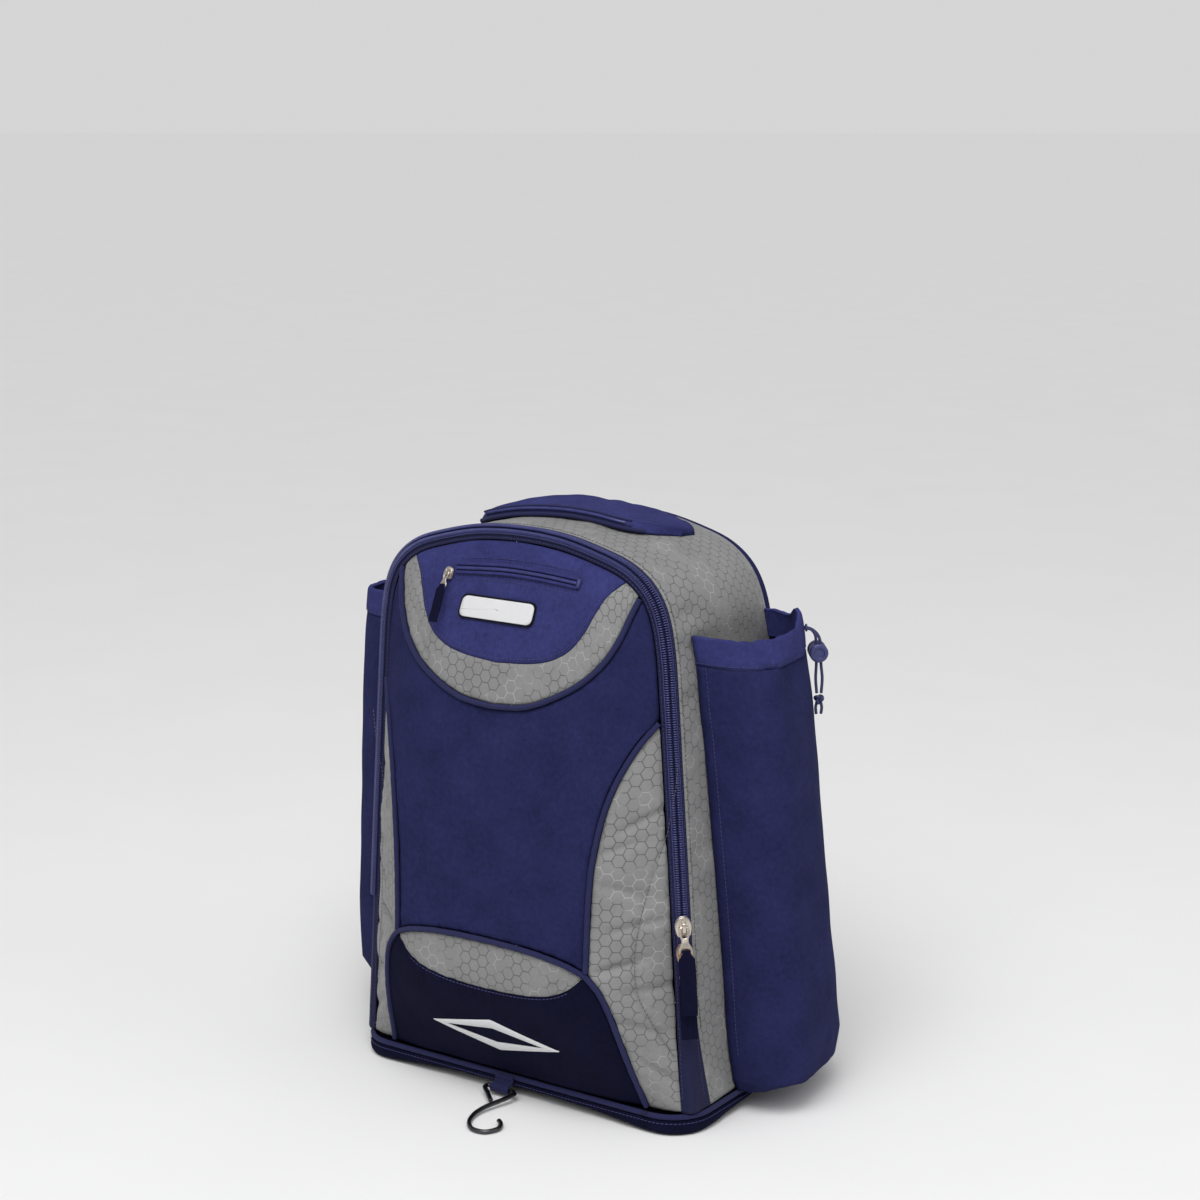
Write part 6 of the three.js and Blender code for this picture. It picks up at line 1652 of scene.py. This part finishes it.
def make_hook():
    rows = [(x, HOOK_BAR_Y - forward, max(HOOK_BAR_Z - 0.08 * forward, -1.9)) for x, forward in HOOK_WIRE]
    path = to_frame(even_curve(rows, 9))
    bpy.ops.object.select_all(action="DESELECT")
    bpy.ops.curve.primitive_nurbs_path_add(radius=0.01)
    wire = start_object("fence_hook_wire")
    curve = wire.data
    curve.splines.clear()
    spline = curve.splines.new("POLY")
    spline.points.add(len(path) - 1)
    for point, place in zip(spline.points, path):
        point.co = (*place, 1)
    curve.bevel_depth = HOOK_RADIUS * MM
    curve.bevel_resolution = 5
    curve.use_fill_caps = True
    bpy.ops.object.convert(target="MESH")
    wire = start_object("fence_hook_wire")
    bpy.ops.object.shade_smooth_by_angle(angle=math.radians(50))
    finish_piece(wire, finish_of("gunmetal"), "hook", ["fence_hook"])

    wrap = HOOK_RADIUS + 0.4 + 0.8
    line = [(BASE_FRONT - 0.85, 12.6), (BASE_FRONT - 1.3, HOOK_BAR_Z + wrap + 1.2)]
    line += [(HOOK_BAR_Y + wrap * math.cos(a), HOOK_BAR_Z + wrap * math.sin(a))
             for a in np.linspace(math.pi / 2, 1.5 * math.pi, 15)]
    line += [(BASE_FRONT - 1.6, HOOK_BAR_Z - wrap + 0.5)]
    line = spaced(np.array(line), np.linspace(0, 1, 60))
    x = np.linspace(-15.5, 2, 24)
    grid = np.stack([np.repeat(x[None], 60, axis=0), np.repeat(line[:, :1], 24, axis=1),
                     np.repeat(line[:, 1:], 24, axis=1)], axis=-1)
    normal = grid_normals(grid)
    grid = grid + normal * 0.8 * (1 if normal[0, 12, 1] < 0 else -1)
    tab = turned_out(sheet_of("hook_tab_webbing", grid, 1.6, turned=normal[0, 12, 1] > 0))
    finish_piece(tab, finish_of("webbing"), "bag", ["hook_tab"])


def even_curve(rows, per_span):
    """A Catmull-Rom curve with centripetal spacing, so that short spans stay calm."""
    rows = np.array(rows, float)
    ends = np.vstack([2 * rows[0] - rows[1], rows, 2 * rows[-1] - rows[-2]])
    out = []
    for i in range(len(rows) - 1):
        p = ends[i:i + 4]
        t = np.concatenate([[0], np.cumsum(np.maximum(1e-6, np.linalg.norm(np.diff(p, axis=0), axis=1)) ** 0.5)])
        at = np.linspace(t[1], t[2], per_span, endpoint=False)[:, None]
        a = [p[k] * (t[k + 1] - at) / (t[k + 1] - t[k]) + p[k + 1] * (at - t[k]) / (t[k + 1] - t[k]) for k in range(3)]
        b = [a[k] * (t[k + 2] - at) / (t[k + 2] - t[k]) + a[k + 1] * (at - t[k]) / (t[k + 2] - t[k]) for k in range(2)]
        out.append(b[0] * (t[2] - at) / (t[2] - t[1]) + b[1] * (at - t[1]) / (t[2] - t[1]))
    return np.vstack(out + [rows[-1:]])


# ---- drawcords, their locks and knots

def make_cords(side):
    label = "right" if side > 0 else "left"
    place, out, rearward = cord_anchor(side)
    lock, button = make_lock(label, place, out, rearward)
    knot = make_knot(label, place, out, rearward)
    for end, name in ((-1, "front"), (1, "rear")):
        rows = [place * [1, 1, 0] + out * (o + behind * end) + rearward * (beside * end) + np.array([0, 0, z])
                for o, beside, behind, z in CORD_ROUTE]
        path = even_curve(rows, 7)
        cord = tube_of(f"drawcord_{label}_{name}_braid", path, CORD_RADIUS, 12)
        finish_piece(turned_out(cord), finish_of("cord"), "bag", [f"drawcord_{label}_{name}"])


def drum(name, radius, depth, edge, sides=40):
    bpy.ops.object.select_all(action="DESELECT")
    bpy.ops.mesh.primitive_cylinder_add(vertices=sides, radius=radius * MM, depth=depth * MM, end_fill_type="NGON")
    piece = start_object(name)
    if edge:
        soften(piece, edge, 4)
    return piece


def make_lock(label, place, out, rearward):
    """A spring cord lock: a barrel with a slot for the cord and a dished button behind it."""
    centre = place * [1, 1, 0] + out * 11 + np.array([0, 0, LOCK_Z])
    turn = Vector(rearward).to_track_quat("Z", "Y").to_matrix().to_4x4()
    seat = Matrix.Translation(to_frame(centre)[0]) @ turn
    barrel = drum(f"cord_lock_{label}_barrel", LOCK_RADIUS, LOCK_DEPTH, 1.6)
    dish = drum("dish", 4.6, 2.4, 0.9)
    dish.data.transform(Matrix.Translation((0, 0, -LOCK_DEPTH / 2 * MM)))
    cut_away(barrel, dish)
    bore = drum("bore", 4.9, LOCK_DEPTH, 0)
    bore.data.transform(Matrix.Translation((0, 0, (LOCK_DEPTH / 2 + 1.7) * MM)))
    cut_away(barrel, bore)
    barrel.data.transform(seat)
    slot = plate("slot", [(-3.7, -2), (3.7, -2), (3.7, 2), (-3.7, 2)], 30, 0)
    side_way = Vector(rearward).cross(Vector((0, 0, 1)))
    upright = Matrix(((side_way[0], rearward[0], 0, 0), (side_way[1], rearward[1], 0, 0), (0, 0, 1, 0), (0, 0, 0, 1)))
    slot.data.transform(Matrix.Translation(to_frame(centre)[0]) @ upright)
    cut_away(barrel, slot)
    make_active(barrel)
    bpy.ops.object.shade_smooth_by_angle(angle=math.radians(40))
    finish_piece(barrel, finish_of("plastic"), "bag", [f"cord_lock_{label}"])

    head = drum(f"cord_lock_button_{label}_cap", LOCK_RADIUS, 4.5, 1.3)
    head.data.transform(Matrix.Translation((0, 0, 2.25 * MM)))
    hollow = drum("hollow", 4.4, 1.6, 0.6)
    hollow.data.transform(Matrix.Translation((0, 0, 4.5 * MM)))
    cut_away(head, hollow)
    stem = drum("stem", 4.5, 4.0, 0)
    stem.data.transform(Matrix.Translation((0, 0, -1.9 * MM)))
    button = join(f"cord_lock_button_{label}_cap", [head, stem])
    seat_button = Matrix.Translation(to_frame(centre + rearward * (LOCK_DEPTH / 2 + 2.7 + GAP))[0]) @ turn
    button.data.transform(seat_button)
    bpy.ops.object.shade_smooth_by_angle(angle=math.radians(40))
    finish_piece(button, finish_of("plastic"), f"lock_button_{label}", [f"cord_lock_button_{label}"])
    return barrel, button


def make_knot(label, place, out, rearward):
    """An overhand knot that joins the two ends, with their short tails."""
    centre = place * [1, 1, 0] + out * 12 + np.array([0, 0, KNOT_Z])
    t = np.linspace(0, 2 * math.pi, 120, endpoint=False)
    a = (np.sin(t) + 2 * np.sin(2 * t)) * 1.05
    b = (np.cos(t) - 2 * np.cos(2 * t)) * 1.05
    c = -np.sin(3 * t) * 1.5
    path = centre + out * a[:, None] + rearward * c[:, None] + np.array([0, 0, 1]) * b[:, None]
    wrap = turned_out(tube_of(f"cord_knot_{label}_wrap", path, 1.35, 10, closed=True))
    parts = [wrap]
    for end in (-1, 1):
        rows = [centre + out * (end * 1.5) + np.array([0, 0, -2.0]), centre + out * (end * 2.4) - np.array([0, 0, 6.5]),
                centre + out * (end * 2.0) + rearward * (end * 0.8) - np.array([0, 0, 12.0])]
        parts.append(turned_out(tube_of("tail", even_curve(rows, 8), 1.2, 10)))
    knot = join(f"cord_knot_{label}_wrap", parts)
    return finish_piece(knot, finish_of("cord"), "bag", [f"cord_knot_{label}"])


# ---- the plain embroidered marks

def outline_points(corners, radius, count):
    line = np.array(rounded(corners, radius, 8))
    return spaced(np.vstack([line, line[:1]]), np.linspace(0, 1, count + 1))


def make_patch():
    corners = [(-41, 391), (32, 391), (34, 410), (-38, 410)]
    edge = outline_points(corners, 6, 160)
    centre = edge[:-1].mean(axis=0)
    share = np.linspace(0.02, 1, 14)
    for name, shrink, lift, finish in (("border", (1, 1), 0.9, "black"), ("field", (0.96, 0.84), 1.25, "white")):
        scaled = centre + (edge - centre) * shrink
        flat = centre + (scaled[None] - centre) * share[:, None, None]
        grid = door_point(flat[..., 0], flat[..., 1], np.full(flat.shape[:2], lift))
        uv = np.stack([flat[..., 0], flat[..., 1]], axis=-1)
        piece = sheet_of(f"yoke_patch_{name}", grid, 1.0, uv=uv)
        repair_normals(piece)
        finish_piece(turned_out(piece), finish_of(finish), "bag")


def make_diamond():
    """A plain diamond in raised satin stitch on the lower pocket."""
    corners = [(-64, 56), (0, 41), (64, 56), (0, 71)]
    outer = outline_points(corners, 2, 320)
    centre = np.array([0, 56.0])
    inner = centre + (outer - centre) * np.array([0.74, 0.46])
    share = np.linspace(0, 1, 12)[:, None, None]
    flat = outer[None] * (1 - share) + inner[None] * share
    lift = 0.7 + 0.75 * np.sin(np.pi * share[..., 0]) ** 0.6 * np.ones(flat.shape[:2])
    grid = door_point(flat[..., 0], flat[..., 1], lift)
    piece = sheet_of("pocket_diamond", grid, 1.4, uv=np.stack([flat[..., 0], flat[..., 1]], axis=-1))
    repair_normals(piece)
    finish_piece(turned_out(piece), finish_of("white"), "bag")


# ---- the stage

FLOOR_SIZE = 120
BACKDROP_STRENGTH = 0.668


def make_stage():
    sizes = bpy.context.scene.backpack_stage
    bpy.ops.object.select_all(action="DESELECT")
    bpy.ops.mesh.primitive_plane_add(size=FLOOR_SIZE, location=(0, 0, 0))
    floor = start_object("floor")
    floor.data.materials.append(plain_floor("pale_floor", tuple(sizes.floor) + (1,)))
    world = bpy.data.worlds.new("soft_studio")
    bpy.context.scene.world = world
    world.use_nodes = True
    nodes, links = world.node_tree.nodes, world.node_tree.links
    nodes["Background"].inputs[0].default_value = (1, 1, 1, 1)
    nodes["Background"].inputs[1].default_value = sizes.surround
    backdrop = nodes.new("ShaderNodeBackground")
    backdrop.inputs[0].default_value = (1, 1, 1, 1)
    backdrop.inputs[1].default_value = BACKDROP_STRENGTH
    pick, ray = nodes.new("ShaderNodeMixShader"), nodes.new("ShaderNodeLightPath")
    links.new(ray.outputs["Is Camera Ray"], pick.inputs[0])
    links.new(nodes["Background"].outputs[0], pick.inputs[1])
    links.new(backdrop.outputs[0], pick.inputs[2])
    links.new(pick.outputs[0], nodes["World Output"].inputs["Surface"])
    for name, kind, spot, size, power in (("sky", "SUN", (0.6, -1.5, 2.6), 1.0, sizes.sky),
                                          ("key", "AREA", (0.5, -1.0, 1.75), 0.9, sizes.key),
                                          ("fill", "AREA", (-2.3, -1.0, 1.5), 1.8, sizes.fill),
                                          ("side", "AREA", (2.4, 0.2, 1.8), 1.4, sizes.side)):
        light = bpy.data.lights.new(name, kind)
        if kind == "SUN":
            light.angle = size
        else:
            light.size = size
        light.energy = power
        lamp = bpy.data.objects.new(name, light)
        lamp.location = spot
        lamp.rotation_euler = (Vector((0, 0, 0.22)) - Vector(spot)).to_track_quat("-Z", "Y").to_euler()
        bpy.context.scene.collection.objects.link(lamp)
    camera_data = bpy.data.cameras.new("photo_camera")
    camera_data.lens = sizes.lens
    camera_data.sensor_width = 36
    camera_data.clip_end = 50
    camera = bpy.data.objects.new("photo_camera", camera_data)
    turn, fall = sizes.turn, sizes.fall
    forward = Vector((-math.sin(turn) * math.cos(fall), math.cos(turn) * math.cos(fall), -math.sin(fall)))
    camera.location = sizes.place
    camera.rotation_euler = forward.to_track_quat("-Z", "Y").to_euler()
    bpy.context.scene.collection.objects.link(camera)
    bpy.context.scene.camera = camera
    bpy.context.scene.view_settings.view_transform = "Standard"


# ---- the add-on

class BackpackCloth(bpy.types.PropertyGroup):
    """Colours and sizes of the bag's cloth."""

    navy: FloatVectorProperty(name="Navy", description="Colour of the navy polyester", subtype="COLOR", size=3,
                              min=0, max=1, default=(0.0215, 0.0235, 0.086))
    grey: FloatVectorProperty(name="Grey", description="Colour of the grey ripstop", subtype="COLOR", size=3,
                              min=0, max=1, default=(0.215, 0.215, 0.215))
    thickness: FloatProperty(name="Cloth thickness", description="Thickness of the lined panels", unit="LENGTH",
                             subtype="DISTANCE", default=0.002, min=0.001, max=0.003, precision=4)
    yarn_pitch: FloatProperty(name="Yarn pitch", description="Distance between two yarns of the weave", unit="LENGTH",
                              subtype="DISTANCE", default=0.00085, min=0.0004, max=0.003, precision=5)


class BackpackStage(bpy.types.PropertyGroup):
    """The camera's place and the studio's light."""

    place: FloatVectorProperty(name="Camera place", description="Where the camera stands", subtype="XYZ", unit="LENGTH",
                               size=3, default=(1.1351, -1.6375, 0.799))
    turn: FloatProperty(name="Turn", description="How far the camera is turned to the left", subtype="ANGLE",
                        unit="ROTATION", default=math.radians(34.664))
    fall: FloatProperty(name="Fall", description="How far the camera looks down", subtype="ANGLE", unit="ROTATION",
                        default=math.radians(11.57))
    lens: FloatProperty(name="Lens", description="Focal length for a 36 mm sensor", subtype="DISTANCE_CAMERA",
                        default=74.334, min=20, max=200)
    key: FloatProperty(name="Key light", description="Power of the large light in front", subtype="POWER",
                       unit="POWER", default=13, min=0)
    sky: FloatProperty(name="Sky", description="Strength of the wide even light from in front", default=1.35, min=0)
    fill: FloatProperty(name="Fill light", description="Power of the light on the left", subtype="POWER",
                        unit="POWER", default=0.6, min=0)
    side: FloatProperty(name="Side light", description="Power of the light on the right", subtype="POWER",
                        unit="POWER", default=7, min=0)
    surround: FloatProperty(name="Surround", description="Strength of the light from all round", default=0.42, min=0)
    floor: FloatVectorProperty(name="Floor", description="Colour of the floor", subtype="COLOR", size=3, min=0, max=1,
                               default=(0.86, 0.86, 0.86))


class BACKPACK_OT_stage(bpy.types.Operator):
    """Floor, soft light and the camera"""
    bl_idname = "backpack.stage"
    bl_label = "Stage and camera"

    def execute(self, context):
        make_stage()
        return {"FINISHED"}


class BACKPACK_OT_cords(bpy.types.Operator):
    """Drawcord ends of both bat sleeves, with their locks and knots"""
    bl_idname = "backpack.cords"
    bl_label = "Drawcords and locks"

    def execute(self, context):
        for side in (1, -1):
            make_cords(side)
        return {"FINISHED"}


class BACKPACK_OT_base(bpy.types.Operator):
    """The base board in its cloth, with its piping"""
    bl_idname = "backpack.base"
    bl_label = "Base"

    def execute(self, context):
        make_base()
        return {"FINISHED"}


class BACKPACK_OT_back(bpy.types.Operator):
    """The padded back panel"""
    bl_idname = "backpack.back"
    bl_label = "Back panel"

    def execute(self, context):
        make_back()
        return {"FINISHED"}


class BACKPACK_OT_gusset(bpy.types.Operator):
    """The grey gusset over the sides and the top"""
    bl_idname = "backpack.gusset"
    bl_label = "Gusset"

    def execute(self, context):
        make_gusset()
        return {"FINISHED"}


class BACKPACK_OT_door(bpy.types.Operator):
    """The sewn panels of the front door"""
    bl_idname = "backpack.door"
    bl_label = "Door panels"

    def execute(self, context):
        make_centre_panel()
        make_hex_band()
        make_yoke_panel()
        make_side_panels()
        make_lower_pocket()
        return {"FINISHED"}


class BACKPACK_OT_pipings(bpy.types.Operator):
    """Piping and stitches on the door's seams"""
    bl_idname = "backpack.pipings"
    bl_label = "Door pipings"

    def execute(self, context):
        make_door_pipings()
        make_door_stitches()
        return {"FINISHED"}


class BACKPACK_OT_main_zip(bpy.types.Operator):
    """The main zip's tape and coil"""
    bl_idname = "backpack.main_zip"
    bl_label = "Main zip"

    def execute(self, context):
        make_zip_tape()
        make_coil()
        return {"FINISHED"}


class BACKPACK_OT_pulls(bpy.types.Operator):
    """Both sliders of the main zip, with their pulls and tabs"""
    bl_idname = "backpack.pulls"
    bl_label = "Main zip pulls"

    def execute(self, context):
        make_main_pulls()
        return {"FINISHED"}


class BACKPACK_OT_yoke_zip(bpy.types.Operator):
    """The short zip of the yoke pocket between its welts"""
    bl_idname = "backpack.yoke_zip"
    bl_label = "Yoke pocket zip"

    def execute(self, context):
        make_yoke_zip()
        return {"FINISHED"}


class BACKPACK_OT_sleeves(bpy.types.Operator):
    """Both bat sleeves with their hems"""
    bl_idname = "backpack.sleeves"
    bl_label = "Bat sleeves"

    def execute(self, context):
        for side in (1, -1):
            make_sleeve(side)
            make_hem(side)
        return {"FINISHED"}


class BACKPACK_OT_top_pocket(bpy.types.Operator):
    """The flat pocket over the crown"""
    bl_idname = "backpack.top_pocket"
    bl_label = "Top pocket"

    def execute(self, context):
        make_top_pocket()
        return {"FINISHED"}


class BACKPACK_OT_hook(bpy.types.Operator):
    """The wire hook and its webbing tab"""
    bl_idname = "backpack.hook"
    bl_label = "Fence hook"

    def execute(self, context):
        make_hook()
        return {"FINISHED"}


class BACKPACK_OT_harness(bpy.types.Operator):
    """Shoulder straps, webbing, buckles and the haul loop"""
    bl_idname = "backpack.harness"
    bl_label = "Harness"

    def execute(self, context):
        for side in (1, -1):
            make_harness(side)
        make_haul_loop()
        return {"FINISHED"}


class BACKPACK_OT_marks(bpy.types.Operator):
    """The plain embroidered patch and the plain diamond"""
    bl_idname = "backpack.marks"
    bl_label = "Embroidered marks"

    def execute(self, context):
        make_patch()
        make_diamond()
        return {"FINISHED"}


OPERATORS = (BACKPACK_OT_stage, BACKPACK_OT_cords, BACKPACK_OT_base, BACKPACK_OT_back, BACKPACK_OT_gusset,
             BACKPACK_OT_door, BACKPACK_OT_pipings, BACKPACK_OT_main_zip, BACKPACK_OT_pulls, BACKPACK_OT_yoke_zip,
             BACKPACK_OT_sleeves, BACKPACK_OT_top_pocket, BACKPACK_OT_hook, BACKPACK_OT_harness, BACKPACK_OT_marks)


class BACKPACK_PT_panel(bpy.types.Panel):
    """Lists the bag's pieces and its sizes"""
    bl_idname = "BACKPACK_PT_panel"
    bl_label = "Baseball bat backpack"
    bl_space_type = "VIEW_3D"
    bl_region_type = "UI"
    bl_category = "Backpack"

    def draw(self, context):
        layout = self.layout
        for group in (context.scene.backpack_cloth, context.scene.backpack_stage):
            box = layout.box()
            for name in group.__annotations__:
                box.prop(group, name)
        for operator in OPERATORS:
            layout.operator(operator.bl_idname)


CLASSES = (BackpackCloth, BackpackStage) + OPERATORS + (BACKPACK_PT_panel,)


def register():
    for kind in CLASSES:
        bpy.utils.register_class(kind)
    bpy.types.Scene.backpack_cloth = PointerProperty(type=BackpackCloth)
    bpy.types.Scene.backpack_stage = PointerProperty(type=BackpackStage)


def unregister():
    del bpy.types.Scene.backpack_stage
    del bpy.types.Scene.backpack_cloth
    for kind in reversed(CLASSES):
        bpy.utils.unregister_class(kind)


def main():
    register()
    bpy.ops.backpack.stage()
    bpy.ops.backpack.sleeves()
    bpy.ops.backpack.cords()
    bpy.ops.backpack.base()
    bpy.ops.backpack.back()
    bpy.ops.backpack.gusset()
    bpy.ops.backpack.door()
    bpy.ops.backpack.pipings()
    bpy.ops.backpack.main_zip()
    bpy.ops.backpack.pulls()
    bpy.ops.backpack.yoke_zip()
    bpy.ops.backpack.top_pocket()
    bpy.ops.backpack.hook()
    bpy.ops.backpack.harness()
    bpy.ops.backpack.marks()


if __name__ == "__main__":
    main()
